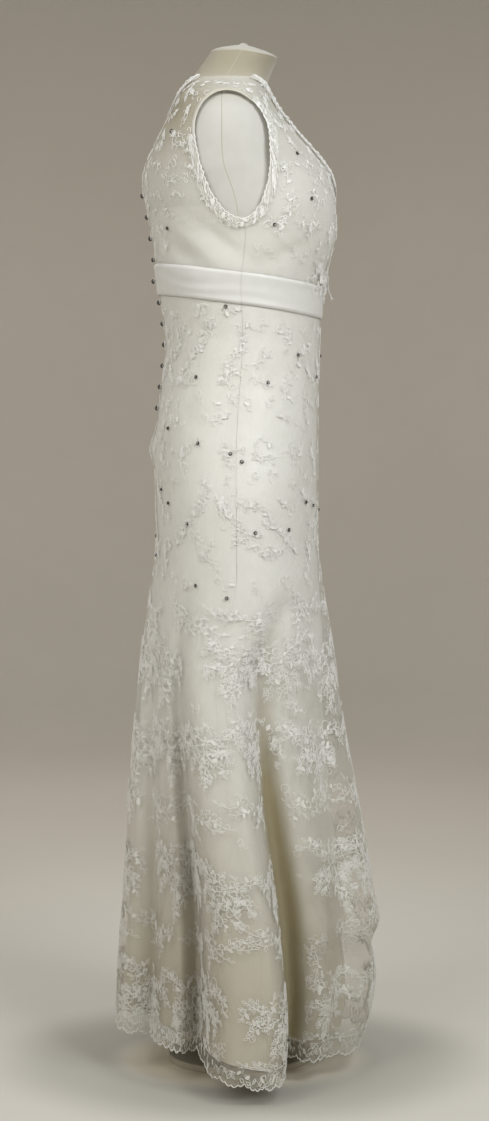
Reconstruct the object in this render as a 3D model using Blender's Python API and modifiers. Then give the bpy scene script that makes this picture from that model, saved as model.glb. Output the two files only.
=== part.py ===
"""A sleeveless lace wedding dress, close to the hips and fluted below the knee, on a
limbless dress form with a pole and a round base.

Metres, +Z up. The floor is z = 0 and the pole's axis is the Z axis. The front of the
dress faces -Y and the wearer's right side faces -X. Angles round the body are degrees
from the centre front, growing towards the wearer's right, the centre back and the left.
"""

import math
from collections import namedtuple

import bmesh
import bpy
import numpy as np
from mathutils import Vector

# Cloth walls and the gaps between them
LACE_WALL = 0.0010
SATIN_WALL = 0.0014
SASH_WALL = 0.0015
TRIM_WALL = 0.0012
LAYER_GAP = 0.0003
SEAM_GAP = 0.0003
SATIN_DEPTH = LACE_WALL + LAYER_GAP
BODICE_SATIN_DEPTH = 0.0026
FORM_DEPTH = 0.0062
FORM_HIP_DEPTH = 0.0085
SASH_LIFT = 0.0011 + SASH_WALL
ARMHOLE_TRIM_LIFT = 0.0009 + TRIM_WALL
NECK_TRIM_LIFT = 0.0013 + TRIM_WALL

# Bodice and sash
ROUNDNESS = 2.2
UNDERARM = 1.250
SASH_LINE = 1.1530
SASH_RISE_TO_BACK = 0.0175
SASH_WIDTH = 0.046
CUP_DIP = 0.008
CUP_DIP_WIDTH = 0.040
CUP_HEIGHT = 1.245
CUP_DIP_REACH = 0.055
BUSTLE_PUFF = 0.009
BUSTLE_HEIGHT = 0.922
BUSTLE_HALF_WIDTH = 0.040
BUSTLE_REACH = 0.022

# Armhole, an egg seen from the side
ARMHOLE_TOP = 1.4330
ARMHOLE_WIDEST = 1.368
ARMHOLE_HALF_DEPTH = 0.0535
ARMHOLE_ROUNDNESS = 2.1
ARMHOLE_MIDDLE_LOW = -0.002
ARMHOLE_MIDDLE_TOP = 0.018
PATH_INSIDE = 0.999
BINDING_TURNS = (48, 184)
BINDING_STEPS = 17
BINDING_INSIDE = 0.0015
BINDING_WIDTH = 0.0045

# Scalloped lace round the armholes and the neckline
ARMHOLE_LACE_TURNS = (187, 405)
ARMHOLE_LACE_STEPS = 31
ARMHOLE_SCALLOP_STEPS = 3
NECK_SCALLOP_STEPS = 2
EDGING_SCALLOP = 0.0025
EDGING_INSIDE = 0.003
ARMHOLE_LACE_WIDTH = 0.008
FRONT_NECK_LACE_WIDTH = 0.013
BACK_NECK_LACE_WIDTH = 0.011

# Shoulder seam and necklines
SHOULDER_TOP = 1.4615
FRONT_NECK_LOW = 1.313
BACK_NECK_LOW = 1.424
SATIN_BACK_TOP = 1.270

# Skirt
FOLDS_START = 0.73
FOLD_GROWTH = 1.2
HEM = 0.022
KNEE = 0.600
HIP_ANGLES_TO = 0.73
FOLD_SHARPNESS = 2.2
FOLD_STEPS = 4
RIGHT_SEAM_FOLD = 3
CENTRE_BACK_FOLD = 7
LEFT_SEAM_FOLD = 11
HEM_LACE_WIDTH = 0.030
SATIN_HEM_RISE = 0.028
SCALLOP_STEPS = 3
SCALLOP_DEPTH = 0.008

# The pair of leaves on the sash's front
LEAF_APART = 0.009
LEAF_LEAN = 0.008
LEAF_TOP = 1.177
LEAF_LIFT = SASH_LIFT + TRIM_WALL - 0.0003
LEAF_TIP_STANDS_OFF = 0.002
LEAF_LENGTH = 0.034
LEAF_HALF_WIDTH = 0.0065
LEAF_TIP_HALF_WIDTH = 0.0006
LEAF_FULLNESS = 0.8
LEAF_STEPS = 7

# Back buttons
BUTTON_COUNT = 11
TOP_BUTTON = 1.2955
BUTTON_PITCH = 0.0315
BUTTON_RADIUS = 0.0040
BUTTON_HALF_THICKNESS = 0.0028

# Dress form and stand
FORM_BOTTOM = 0.760
HIPS_BELOW = 1.0
NECK_TOP = 1.5065
NECK_TOP_SLOPE = 0.15
POLE_RADIUS = 0.0125
BASE_RADIUS = 0.108
BASE_THICKNESS = 0.010
HUB_RADIUS = 0.030
HUB_TOP = 0.055
COLLAR_RADIUS = 0.055
COLLAR_THICKNESS = 0.010

Section = namedtuple("Section", "height front back half_width")
# The outer face of the lace, level by level
DRESS = (
    Section(height=1.4650, front=-0.040, back=0.076, half_width=0.076),
    Section(height=1.4550, front=-0.043, back=0.082, half_width=0.112),
    Section(height=1.4450, front=-0.046, back=0.087, half_width=0.140),
    Section(height=1.4330, front=-0.050, back=0.093, half_width=0.160),
    Section(height=1.4150, front=-0.060, back=0.102, half_width=0.170),
    Section(height=1.3950, front=-0.076, back=0.112, half_width=0.174),
    Section(height=1.3700, front=-0.098, back=0.125, half_width=0.174),
    Section(height=1.3450, front=-0.120, back=0.137, half_width=0.172),
    Section(height=1.3250, front=-0.134, back=0.143, half_width=0.170),
    Section(height=1.3050, front=-0.141, back=0.143, half_width=0.169),
    Section(height=1.2750, front=-0.145, back=0.137, half_width=0.168),
    Section(height=1.2460, front=-0.147, back=0.132, half_width=0.165),
    Section(height=1.2250, front=-0.145, back=0.129, half_width=0.161),
    Section(height=1.2050, front=-0.138, back=0.126, half_width=0.157),
    Section(height=1.1800, front=-0.130, back=0.124, half_width=0.153),
    Section(height=1.1570, front=-0.124, back=0.121, half_width=0.149),
    Section(height=1.1200, front=-0.120, back=0.114, half_width=0.145),
    Section(height=1.0750, front=-0.118, back=0.110, half_width=0.142),
    Section(height=1.0300, front=-0.117, back=0.114, half_width=0.146),
    Section(height=0.9850, front=-0.116, back=0.120, half_width=0.156),
    Section(height=0.9300, front=-0.115, back=0.125, half_width=0.170),
    Section(height=0.8430, front=-0.115, back=0.125, half_width=0.188),
    Section(height=0.7800, front=-0.116, back=0.125, half_width=0.190),
    Section(height=0.7000, front=-0.126, back=0.135, half_width=0.192),
    Section(height=0.6370, front=-0.137, back=0.145, half_width=0.198),
    Section(height=0.5120, front=-0.155, back=0.158, half_width=0.216),
    Section(height=0.4090, front=-0.174, back=0.167, half_width=0.236),
    Section(height=0.3060, front=-0.193, back=0.172, half_width=0.256),
    Section(height=0.2210, front=-0.209, back=0.178, half_width=0.270),
    Section(height=0.1840, front=-0.195, back=0.181, half_width=0.275),
    Section(height=0.1300, front=-0.203, back=0.184, half_width=0.282),
    Section(height=0.0840, front=-0.196, back=0.186, half_width=0.288),
    Section(height=0.0200, front=-0.176, back=0.188, half_width=0.292),
)
# The dress form above the bust, where the yoke stands off its chest
FORM_CHEST = (
    Section(height=1.4850, front=-0.050, back=0.058, half_width=0.055),
    Section(height=1.4720, front=-0.045, back=0.068, half_width=0.058),
    Section(height=1.4620, front=-0.041, back=0.073, half_width=0.066),
    Section(height=1.4515, front=-0.041, back=0.078, half_width=0.104),
    Section(height=1.4410, front=-0.043, back=0.083, half_width=0.134),
    Section(height=1.4290, front=-0.047, back=0.089, half_width=0.154),
    Section(height=1.4150, front=-0.056, back=0.097, half_width=0.164),
    Section(height=1.3950, front=-0.068, back=0.107, half_width=0.169),
    Section(height=1.3700, front=-0.083, back=0.120, half_width=0.169),
    Section(height=1.3450, front=-0.097, back=0.131, half_width=0.167),
    Section(height=1.3250, front=-0.111, back=0.138, half_width=0.166),
    Section(height=1.3050, front=-0.126, back=0.137, half_width=0.1635),
)
FORM_END = Section(height=FORM_BOTTOM, front=-0.108, back=0.117, half_width=0.181)
NeckWidth = namedtuple("NeckWidth", "height front back")
# Half the width of the neckline, at the front and at the back
NECKLINE = (
    NeckWidth(height=1.3130, front=0.000, back=0.000),
    NeckWidth(height=1.3180, front=0.022, back=0.000),
    NeckWidth(height=1.3300, front=0.036, back=0.000),
    NeckWidth(height=1.3600, front=0.050, back=0.000),
    NeckWidth(height=1.4000, front=0.060, back=0.000),
    NeckWidth(height=1.4240, front=0.065, back=0.000),
    NeckWidth(height=1.4280, front=0.066, back=0.024),
    NeckWidth(height=1.4400, front=0.069, back=0.048),
    NeckWidth(height=1.4650, front=0.075, back=0.074),
)
CupEdge = namedtuple("CupEdge", "angle height")
# The top edge of the satin front
CUP_EDGE = (
    CupEdge(angle=0, height=1.2640),
    CupEdge(angle=18, height=1.2860),
    CupEdge(angle=36, height=1.3100),
    CupEdge(angle=51, height=1.3240),
    CupEdge(angle=70, height=1.3430),
)
Fold = namedtuple("Fold", "waist knee hem inset lift")
# Crests and valleys of the flutes in turn, from the centre front. waist, knee and hem are
# the line's angles there, inset is how far it lies inside the outline at the hem, and
# lift is the hem's height above the lowest one.
FOLDS = (
    Fold(waist=0, knee=-2, hem=-4, inset=0.000, lift=0.010),
    Fold(waist=30, knee=40, hem=38, inset=0.062, lift=0.008),
    Fold(waist=58, knee=79, hem=62, inset=0.132, lift=0.012),
    Fold(waist=90, knee=102, hem=79, inset=0.000, lift=0.000),
    Fold(waist=122, knee=129, hem=113, inset=0.130, lift=0.022),
    Fold(waist=140, knee=141, hem=128, inset=0.078, lift=0.028),
    Fold(waist=160, knee=156, hem=150, inset=0.070, lift=0.034),
    Fold(waist=180, knee=177, hem=172, inset=0.000, lift=0.046),
    Fold(waist=202, knee=195, hem=196, inset=0.075, lift=0.038),
    Fold(waist=222, knee=213, hem=217, inset=0.020, lift=0.024),
    Fold(waist=244, knee=234, hem=239, inset=0.105, lift=0.018),
    Fold(waist=270, knee=260, hem=264, inset=0.000, lift=0.004),
    Fold(waist=300, knee=285, hem=289, inset=0.118, lift=0.012),
    Fold(waist=332, knee=322, hem=324, inset=0.030, lift=0.008),
)
Fullness = namedtuple("Fullness", "height all_round at_front")
# How far the satin skirt hangs inside the lace one
FULLNESS = (
    Fullness(height=1.200, all_round=0.0000, at_front=0.000),
    Fullness(height=0.900, all_round=0.0000, at_front=0.000),
    Fullness(height=0.780, all_round=0.0002, at_front=0.000),
    Fullness(height=0.640, all_round=0.0030, at_front=0.010),
    Fullness(height=0.545, all_round=0.0055, at_front=0.024),
    Fullness(height=0.400, all_round=0.0075, at_front=0.038),
    Fullness(height=0.240, all_round=0.0080, at_front=0.050),
    Fullness(height=0.030, all_round=0.0090, at_front=0.030),
)
# Shares of the way down the skirt, and heights up the bodice, at which the cloth has a row
LACE_SKIRT_ROWS = (0, 0.03, 0.08, 0.15, 0.23, 0.32, 0.41, 0.50, 0.59, 0.68, 0.77, 0.86, 0.93, 1)
SATIN_SKIRT_ROWS = (0, 0.03, 0.08, 0.15, 0.23, 0.32, 0.41, 0.50, 0.62, 0.74, 0.87, 1)
BODICE_ROWS = (SASH_LINE, 1.180, 1.204, 1.227, UNDERARM, 1.254, 1.267, 1.286, FRONT_NECK_LOW,
               1.318, 1.330, 1.350, 1.375, 1.400, 1.420, ARMHOLE_TOP, 1.446, SHOULDER_TOP)
BACK_ROWS = (SASH_LINE, 1.180, 1.204, 1.227, UNDERARM, 1.254, 1.267, 1.290, 1.318, 1.345, 1.370, 1.395,
             BACK_NECK_LOW - 0.008, BACK_NECK_LOW, 1.428, ARMHOLE_TOP, 1.446, SHOULDER_TOP)
FRONT_NECK_ROWS = (FRONT_NECK_LOW, 1.3145, 1.318, 1.324, 1.332, 1.345, 1.360, 1.375, 1.390, 1.405,
                   1.420, 1.435, 1.450, SHOULDER_TOP)
BACK_NECK_ROWS = (BACK_NECK_LOW, 1.4255, 1.428, 1.433, 1.440, 1.450, SHOULDER_TOP)
BODICE_COLUMNS = 10
SATIN_BODICE_ROWS = 7
SASH_STEP = 7.5
FORM_SIDES = 32
# The neck cap's rings: size beside the neck's top, and rise above it
NeckCapStep = namedtuple("NeckCapStep", "size rise")
NECK_CAP_STEPS = (
    NeckCapStep(size=0.975, rise=SEAM_GAP),
    NeckCapStep(size=1.0, rise=0.003),
    NeckCapStep(size=0.66, rise=0.0090),
    NeckCapStep(size=0.12, rise=0.0115),
    NeckCapStep(size=0.08, rise=0.0150),
)

Finish = namedtuple("Finish", "name colour roughness metallic")
SATIN = Finish(name="ivory_satin", colour=(0.80, 0.76, 0.68), roughness=0.42, metallic=0.0)
LACE = Finish(name="ivory_lace", colour=(0.86, 0.83, 0.77), roughness=0.75, metallic=0.0)
COVER = Finish(name="cream_cover", colour=(0.74, 0.72, 0.66), roughness=0.85, metallic=0.0)
METAL = Finish(name="painted_metal", colour=(0.70, 0.68, 0.63), roughness=0.45, metallic=0.2)
BEAD = Finish(name="dark_bead", colour=(0.05, 0.05, 0.05), roughness=0.15, metallic=0.0)


def smooth_between(places, values):
    """A smooth curve through values at rising places, as a function of an array."""
    places, values = np.array(places, float), np.array(values, float)
    slopes = np.gradient(values, places)

    def value_at(place):
        place = np.clip(place, places[0], places[-1])
        left = np.clip(np.searchsorted(places, place) - 1, 0, len(places) - 2)
        span = places[left + 1] - places[left]
        share = (place - places[left]) / span
        square, cube = share**2, share**3
        return (
            (2 * cube - 3 * square + 1) * values[left]
            + (cube - 2 * square + share) * span * slopes[left]
            + (3 * square - 2 * cube) * values[left + 1]
            + (cube - square) * span * slopes[left + 1]
        )

    return value_at


def column_of(table, name, key="height"):
    """A table's column as a smooth function of its key column."""
    rows = sorted(table, key=lambda row: getattr(row, key))
    return smooth_between([getattr(row, key) for row in rows], [getattr(row, name) for row in rows])


class Outline:
    """An upright form through level sections, each a rounded oval."""

    def __init__(self, table):
        self.front = column_of(table, "front")
        self.back = column_of(table, "back")
        self.half_width = column_of(table, "half_width")

    def middle(self, height):
        return (self.front(height) + self.back(height)) / 2

    def half_depth(self, height):
        return (self.back(height) - self.front(height)) / 2

    def at(self, angle, height):
        """Points at arrays of angles and heights."""
        angle, height = np.broadcast_arrays(np.asarray(angle, float), np.asarray(height, float))
        turn = np.radians(angle)
        ahead, aside = np.cos(turn), np.sin(turn)
        power = 2 / ROUNDNESS
        x = -self.half_width(height) * np.sign(aside) * np.abs(aside) ** power
        y = self.middle(height) - self.half_depth(height) * np.sign(ahead) * np.abs(ahead) ** power
        between_cups = np.exp(-((x / CUP_DIP_WIDTH) ** 2) - ((height - CUP_HEIGHT) / CUP_DIP_REACH) ** 2)
        y = y + CUP_DIP * between_cups * np.clip(ahead, 0, 1)
        puff = np.exp(-((x / BUSTLE_HALF_WIDTH) ** 2) - ((height - BUSTLE_HEIGHT) / BUSTLE_REACH) ** 2)
        y = y + BUSTLE_PUFF * puff * np.clip(-ahead, 0, 1)
        return np.stack([x, y, height], axis=-1)

    def normal(self, angle, height):
        """Unit normals that point away from the form."""
        by_angle = self.at(np.asarray(angle) + 0.5, height) - self.at(np.asarray(angle) - 0.5, height)
        top = np.minimum(np.asarray(height) + 0.0005, DRESS[0].height)
        by_height = self.at(angle, top) - self.at(angle, top - 0.001)
        normal = np.cross(by_height, by_angle)
        return normal / np.linalg.norm(normal, axis=-1, keepdims=True)

    def off(self, angle, height, distance):
        """Points at a distance, or an array of distances, outside the outline."""
        return self.at(angle, height) + self.normal(angle, height) * np.expand_dims(distance, -1)

    def angle_at_width(self, width, height):
        """The angle, from the centre front, of the point this far to the right."""
        share = np.clip(width / self.half_width(height), 0, 1)
        return math.degrees(math.asin(share ** (ROUNDNESS / 2)))

    def angle_at_depth(self, depth, height):
        """The angle on the right side of the point with this Y."""
        share = (self.middle(height) - depth) / self.half_depth(height)
        ahead = math.copysign(min(1, abs(share)) ** (ROUNDNESS / 2), share)
        return math.degrees(math.acos(ahead))


dress = Outline(DRESS)
neck_front = column_of(NECKLINE, "front")
neck_back = column_of(NECKLINE, "back")
cup_edge = column_of(CUP_EDGE, "height", key="angle")
fullness_round = column_of(FULLNESS, "all_round")
fullness_front = column_of(FULLNESS, "at_front")


# Points of the panels, as grids (row, column, xyz)


def normals_of(grid, wraps=False):
    """Unit normals that point away from the body."""
    padded = np.concatenate([grid[:, -1:], grid, grid[:, :1]], axis=1) if wraps else grid
    normal = np.cross(np.gradient(padded, axis=1), np.gradient(padded, axis=0))
    normal /= np.maximum(np.linalg.norm(normal, axis=-1, keepdims=True), 1e-12)
    if wraps:
        normal = normal[:, 1:-1]
    return normal * math.copysign(1, np.sum(normal[..., :2] * grid[..., :2]))


def moved_out(grid, distance, wraps=False):
    return grid + normals_of(grid, wraps) * distance


def pulled_in(grid, first=SEAM_GAP / 2, last=SEAM_GAP / 2):
    """The grid with its first and last columns moved towards the panel's own middle."""
    grid = grid.copy()
    for edge, inside, distance in ((0, 1, first), (-1, -2, last)):
        step = grid[:, inside] - grid[:, edge]
        length = np.maximum(np.linalg.norm(step, axis=-1, keepdims=True), distance * 2)
        grid[:, edge] += step / length * distance
    return grid


def mirrored(grid):
    """The same panel on the wearer's other side."""
    return grid[:, ::-1] * np.array([-1, 1, 1])


def sash_line(angle):
    """The height of the middle of the sash, which hides the waist seam."""
    return SASH_LINE - SASH_RISE_TO_BACK * np.cos(np.radians(angle))


# Bodice


def armhole_half_depth(height):
    end = UNDERARM if height < ARMHOLE_WIDEST else ARMHOLE_TOP
    share = min(1, (height - ARMHOLE_WIDEST) / (end - ARMHOLE_WIDEST))
    return ARMHOLE_HALF_DEPTH * (1 - share**ARMHOLE_ROUNDNESS) ** (1 / ARMHOLE_ROUNDNESS)


def armhole_middle(height):
    share = (height - UNDERARM) / (ARMHOLE_TOP - UNDERARM)
    return ARMHOLE_MIDDLE_LOW + (ARMHOLE_MIDDLE_TOP - ARMHOLE_MIDDLE_LOW) * share


def armhole_angle(height, side):
    """The angle of the armhole's edge: side -1 for its front half and 1 for its back half."""
    return dress.angle_at_depth(armhole_middle(height) + side * armhole_half_depth(height), height)


def front_outer_angle(height):
    """Where the front ends: the side seam, the armhole or the shoulder seam."""
    return min(90, armhole_angle(height, -1)) if UNDERARM < height < ARMHOLE_TOP else 90


def back_outer_angle(height):
    return max(90, armhole_angle(height, 1)) if UNDERARM < height < ARMHOLE_TOP else 90


def front_inner_angle(height):
    """Where the front ends at its middle: the centre front or the neckline."""
    return dress.angle_at_width(float(neck_front(height)), height) if height > FRONT_NECK_LOW else 0


def back_inner_angle(height):
    if height <= BACK_NECK_LOW:
        return 180
    return 180 - dress.angle_at_width(float(neck_back(height)), height)


def bodice_level(height, angle):
    """Rows under the armhole lean with the sash."""
    low = sash_line(angle) + SEAM_GAP / 2
    share = (height - SASH_LINE) / (UNDERARM - SASH_LINE)
    return np.where(height < UNDERARM, low + share * (UNDERARM - low), height)


def bodice_grid(heights, inner_angle, outer_angle):
    """Rows of points on the dress between two edges that are functions of height."""
    share = np.linspace(0, 1, BODICE_COLUMNS)
    rows = []
    for height in heights:
        start, end = inner_angle(height), outer_angle(height)
        angle = start + (end - start) * share
        rows.append(dress.at(angle, bodice_level(height, angle)))
    return np.array(rows)


def satin_grid(first_angle, last_angle, top_edge, side):
    """A half of the satin bodice, whose columns end at its top edge or at the armhole."""
    heights = np.linspace(UNDERARM, ARMHOLE_WIDEST, 80)
    armhole = np.array([armhole_angle(height, side) * side for height in heights])
    armhole[0] = 90 * side
    armhole = np.maximum.accumulate(armhole)
    columns = []
    for angle in np.linspace(first_angle, last_angle, BODICE_COLUMNS):
        top = float(top_edge(angle))
        if angle * side <= armhole[-1]:
            top = min(top, float(np.interp(angle * side, armhole, heights)))
        low = float(sash_line(angle)) + SEAM_GAP / 2
        columns.append(dress.off(angle, np.linspace(low, top, SATIN_BODICE_ROWS), -BODICE_SATIN_DEPTH))
    return np.array(columns).transpose(1, 0, 2)


def sash_grid(first_angle, last_angle):
    angle = np.linspace(first_angle, last_angle, round(abs(last_angle - first_angle) / SASH_STEP) + 1)
    rows = [dress.off(angle, sash_line(angle) + share * SASH_WIDTH, SASH_LIFT) for share in (-0.5, 0, 0.5)]
    return pulled_in(np.array(rows))


def leaf_grid(side):
    """A pointed leaf that hangs over the sash: side -1 for the wearer's right and 1 for the left."""
    share = np.linspace(0, 1, LEAF_STEPS)
    half = LEAF_HALF_WIDTH * np.sin(math.pi * share).clip(0, 1) ** LEAF_FULLNESS
    half = np.maximum(half, LEAF_TIP_HALF_WIDTH)
    height = LEAF_TOP - LEAF_LENGTH * share
    rows = []
    for edge in (-1, 0, 1):
        width = LEAF_APART + LEAF_LEAN * share + edge * half
        angle = np.array([dress.angle_at_width(x, z) for x, z in zip(width, height)])
        rows.append(dress.off(-side * angle, height, LEAF_LIFT + LEAF_TIP_STANDS_OFF * share**2))
    return np.array(rows)


# Skirt


class Skirt:
    """The fluted skirt, followed round its folds and down from the sash to the hem."""

    def __init__(self, steps):
        place = np.arange(len(FOLDS) * steps) / steps
        here = place.astype(int)
        share = place - here

        def along(name, turn=0):
            start = np.array([getattr(fold, name) for fold in FOLDS], float)
            end = np.roll(start, -1)
            end[-1] += turn
            return start[here], end[here], start[here] + (end - start)[here] * share

        self.waist = along("waist", turn=360)[2]
        self.knee = along("knee", turn=360)[2]
        self.hem = along("hem", turn=360)[2]
        self.lift = along("lift")[2]
        start, end, _ = along("inset")
        from_crest = np.where(start < end, share, 1 - share)
        crest, valley = np.minimum(start, end), np.maximum(start, end)
        self.inset = crest + (valley - crest) * fold_shape(from_crest)

    def angle(self, height):
        to_knee = np.clip((HIP_ANGLES_TO - height) / (HIP_ANGLES_TO - KNEE), 0, 1)
        to_hem = np.clip((KNEE - height) / (KNEE - HEM), 0, 1)
        bend = to_knee * to_knee * (3 - 2 * to_knee)
        return self.waist + (self.knee - self.waist) * bend + (self.hem - self.knee) * to_hem

    def ring(self, height, fullness=0.0):
        """One ring at an array of heights; fullness is how far inside the lace it hangs."""
        angle = self.angle(height)
        ring = dress.at(angle, height)
        inward = np.stack([-ring[:, 0], -0.5 * (ring[:, 1] - dress.middle(height)), height * 0], axis=-1)
        inward /= np.linalg.norm(inward, axis=-1, keepdims=True)
        return ring + inward * (self.inset * fold_growth(height) + fullness)[:, None]

    def grid(self, shares, hem_rise, fullness=None):
        """Rings at shares of the way down to the hem, which hem_rise lifts."""
        top = sash_line(self.waist) - SEAM_GAP / 2
        low = HEM + self.lift + hem_rise
        rows = []
        for share in shares:
            height = top + (low - top) * share
            depth = fullness(self.angle(height), height) if fullness else height * 0
            rows.append(self.ring(height, depth))
        return np.array(rows)


def fold_shape(from_crest):
    """0 on a crest and 1 in a valley, broad at the crest and narrow in the valley."""
    return 0.5 - 0.5 * np.cos(np.pi * from_crest**FOLD_SHARPNESS)


def fold_growth(height):
    share = np.clip((FOLDS_START - height) / (FOLDS_START - HEM), 0, 1)
    return np.sin(np.pi / 2 * share) ** FOLD_GROWTH


def satin_fullness(angle, height):
    ahead = np.clip(np.cos(np.radians(angle)), 0, 1) ** 2
    return np.maximum(0, fullness_round(height) + fullness_front(height) * ahead)


def skirt_panels(grid, steps, centre_front_seam=False):
    """The panels of a ring grid, by name, with their seams open."""
    spans = {
        "front": (LEFT_SEAM_FOLD, len(FOLDS) + RIGHT_SEAM_FOLD),
        "back_right": (RIGHT_SEAM_FOLD, CENTRE_BACK_FOLD),
        "back_left": (CENTRE_BACK_FOLD, LEFT_SEAM_FOLD),
    }
    if centre_front_seam:
        del spans["front"]
        spans["front_right"] = (0, RIGHT_SEAM_FOLD)
        spans["front_left"] = (LEFT_SEAM_FOLD, len(FOLDS))
    for name, (first, last) in spans.items():
        columns = np.arange(first * steps, last * steps + 1) % grid.shape[1]
        yield name, pulled_in(grid[:, columns])


# Trim along edges


def beside(angle, height, offset, lift):
    """Points on the dress an offset to the left of a path on it, and lifted off it."""
    here = dress.at(angle, height)
    by_angle = dress.at(angle + 0.5, height) - dress.at(angle - 0.5, height)
    by_height = (dress.at(angle, height + 0.0005) - dress.at(angle, height - 0.0005)) / 0.001
    across = np.cross(dress.normal(angle, height), np.gradient(here, axis=0))
    across *= (np.broadcast_to(offset, angle.shape) / np.linalg.norm(across, axis=-1))[:, None]
    aa, ah, hh = ((by_angle * by_angle).sum(-1), (by_angle * by_height).sum(-1), (by_height**2).sum(-1))
    ra, rh = (by_angle * across).sum(-1), (by_height * across).sum(-1)
    scale = aa * hh - ah * ah
    turn, rise = (ra * hh - rh * ah) / scale, (rh * aa - ra * ah) / scale
    return dress.off(angle + turn, np.minimum(height + rise, DRESS[0].height), lift)


def edging_grid(angle, height, inside, width, lift, scallop_steps=0):
    """A strip along a path, from its edge inside the opening to its edge on the cloth."""
    wave = np.abs(np.sin(np.pi * np.arange(len(angle)) / scallop_steps)) if scallop_steps else 0
    edges = (-(inside + wave * EDGING_SCALLOP), (width - inside) / 2, width + wave * EDGING_SCALLOP)
    return np.array([beside(angle, height, edge + angle * 0, lift) for edge in edges])


def armhole_path(first, last, count):
    """Angles and heights along the right armhole; turns start at its front edge and go up."""
    turn = np.radians(np.linspace(first, last, count))
    rise = np.sin(turn)
    above, below = ARMHOLE_TOP - ARMHOLE_WIDEST, ARMHOLE_WIDEST - UNDERARM
    height = ARMHOLE_WIDEST + np.where(rise > 0, above, below) * rise * PATH_INSIDE
    depth = armhole_middle(height) - ARMHOLE_HALF_DEPTH * np.cos(turn)
    return np.array([dress.angle_at_depth(y, z) for y, z in zip(depth, height)]), height


def neckline_path(heights, inner_angle):
    return np.array([inner_angle(height) for height in heights]), np.array(heights)


# Solids


def material_of(finish):
    material = bpy.data.materials.get(finish.name)
    if material:
        return material
    material = bpy.data.materials.new(finish.name)
    material.use_nodes = True
    shader = material.node_tree.nodes["Principled BSDF"]
    shader.inputs["Base Color"].default_value = (*finish.colour, 1)
    shader.inputs["Roughness"].default_value = finish.roughness
    shader.inputs["Metallic"].default_value = finish.metallic
    material.diffuse_color = (*finish.colour, 1)
    return material


def finished(obj, finish):
    obj.data.materials.append(material_of(finish))
    for collection in list(obj.users_collection):
        collection.objects.unlink(obj)
    bpy.data.collections["lace_wedding_dress"].objects.link(obj)
    obj.data.shade_smooth()
    return obj


def loft(name, rings, finish, wraps=False, capped=False):
    """A mesh through rows of points; wraps closes each row and capped fills the end rows."""
    count = len(rings[0])
    mesh = bmesh.new()
    rows = [[mesh.verts.new(point) for point in ring] for ring in rings]
    for low, high in zip(rows, rows[1:]):
        for column in range(count if wraps else count - 1):
            after = (column + 1) % count
            mesh.faces.new((low[column], low[after], high[after], high[column]))
    if capped:
        mesh.faces.new(rows[0][::-1])
        mesh.faces.new(rows[-1])
    data = bpy.data.meshes.new(name)
    mesh.to_mesh(data)
    mesh.free()
    return finished(bpy.data.objects.new(name, data), finish)


def cloth(name, grid, wall, finish, whole=False):
    """A cloth panel whose outer face is the grid; whole mirrors a half onto the left side."""
    along = np.cross(np.gradient(grid, axis=1), np.gradient(grid, axis=0))
    if np.sum(along[..., :2] * grid[..., :2]) < 0:
        grid = grid[::-1]
    obj = loft(name, grid, finish)
    if whole:
        mirror = obj.modifiers.new("left_half", "MIRROR")
        mirror.merge_threshold = 0.0001
    solidify = obj.modifiers.new("wall", "SOLIDIFY")
    solidify.thickness = wall
    solidify.offset = -1
    return obj


def disc(name, radius, low, high, finish, bevel=0.0, sides=40):
    """An upright cylinder on the pole's axis."""
    bpy.ops.mesh.primitive_cylinder_add(
        vertices=sides, radius=radius, depth=high - low, location=(0, 0, (low + high) / 2)
    )
    obj = bpy.context.object
    obj.name = obj.data.name = name
    if bevel:
        edge = obj.modifiers.new("edge", "BEVEL")
        edge.width = bevel
        edge.segments = 2
    return finished(obj, finish)


# Sub-parts


def make_bodice():
    front = bodice_grid(BODICE_ROWS, front_inner_angle, front_outer_angle)
    cloth("lace_bodice_front", pulled_in(front, first=0), LACE_WALL, LACE, whole=True)
    back = pulled_in(bodice_grid(BACK_ROWS, back_inner_angle, back_outer_angle))
    cloth("lace_bodice_back_right", back, LACE_WALL, LACE)
    cloth("lace_bodice_back_left", mirrored(back), LACE_WALL, LACE)
    front = satin_grid(0, 90, cup_edge, side=-1)
    front[:, 0, 0] = 0
    cloth("bodice_front", pulled_in(front, first=0), SATIN_WALL, SATIN, whole=True)
    back = satin_grid(90, 180, lambda angle: SATIN_BACK_TOP, side=1)
    back[:, -1, 0] = 0
    back = pulled_in(back)
    cloth("bodice_back_right", back, SATIN_WALL, SATIN)
    cloth("bodice_back_left", mirrored(back), SATIN_WALL, SATIN)


def make_sash():
    cloth("sash_front", sash_grid(-90, 90), SASH_WALL, SATIN)
    cloth("sash_back_right", sash_grid(90, 180), SASH_WALL, SATIN)
    cloth("sash_back_left", sash_grid(180, 270), SASH_WALL, SATIN)
    for side, name in ((-1, "sash_leaf_right"), (1, "sash_leaf_left")):
        cloth(name, leaf_grid(side), TRIM_WALL, SATIN)


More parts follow.
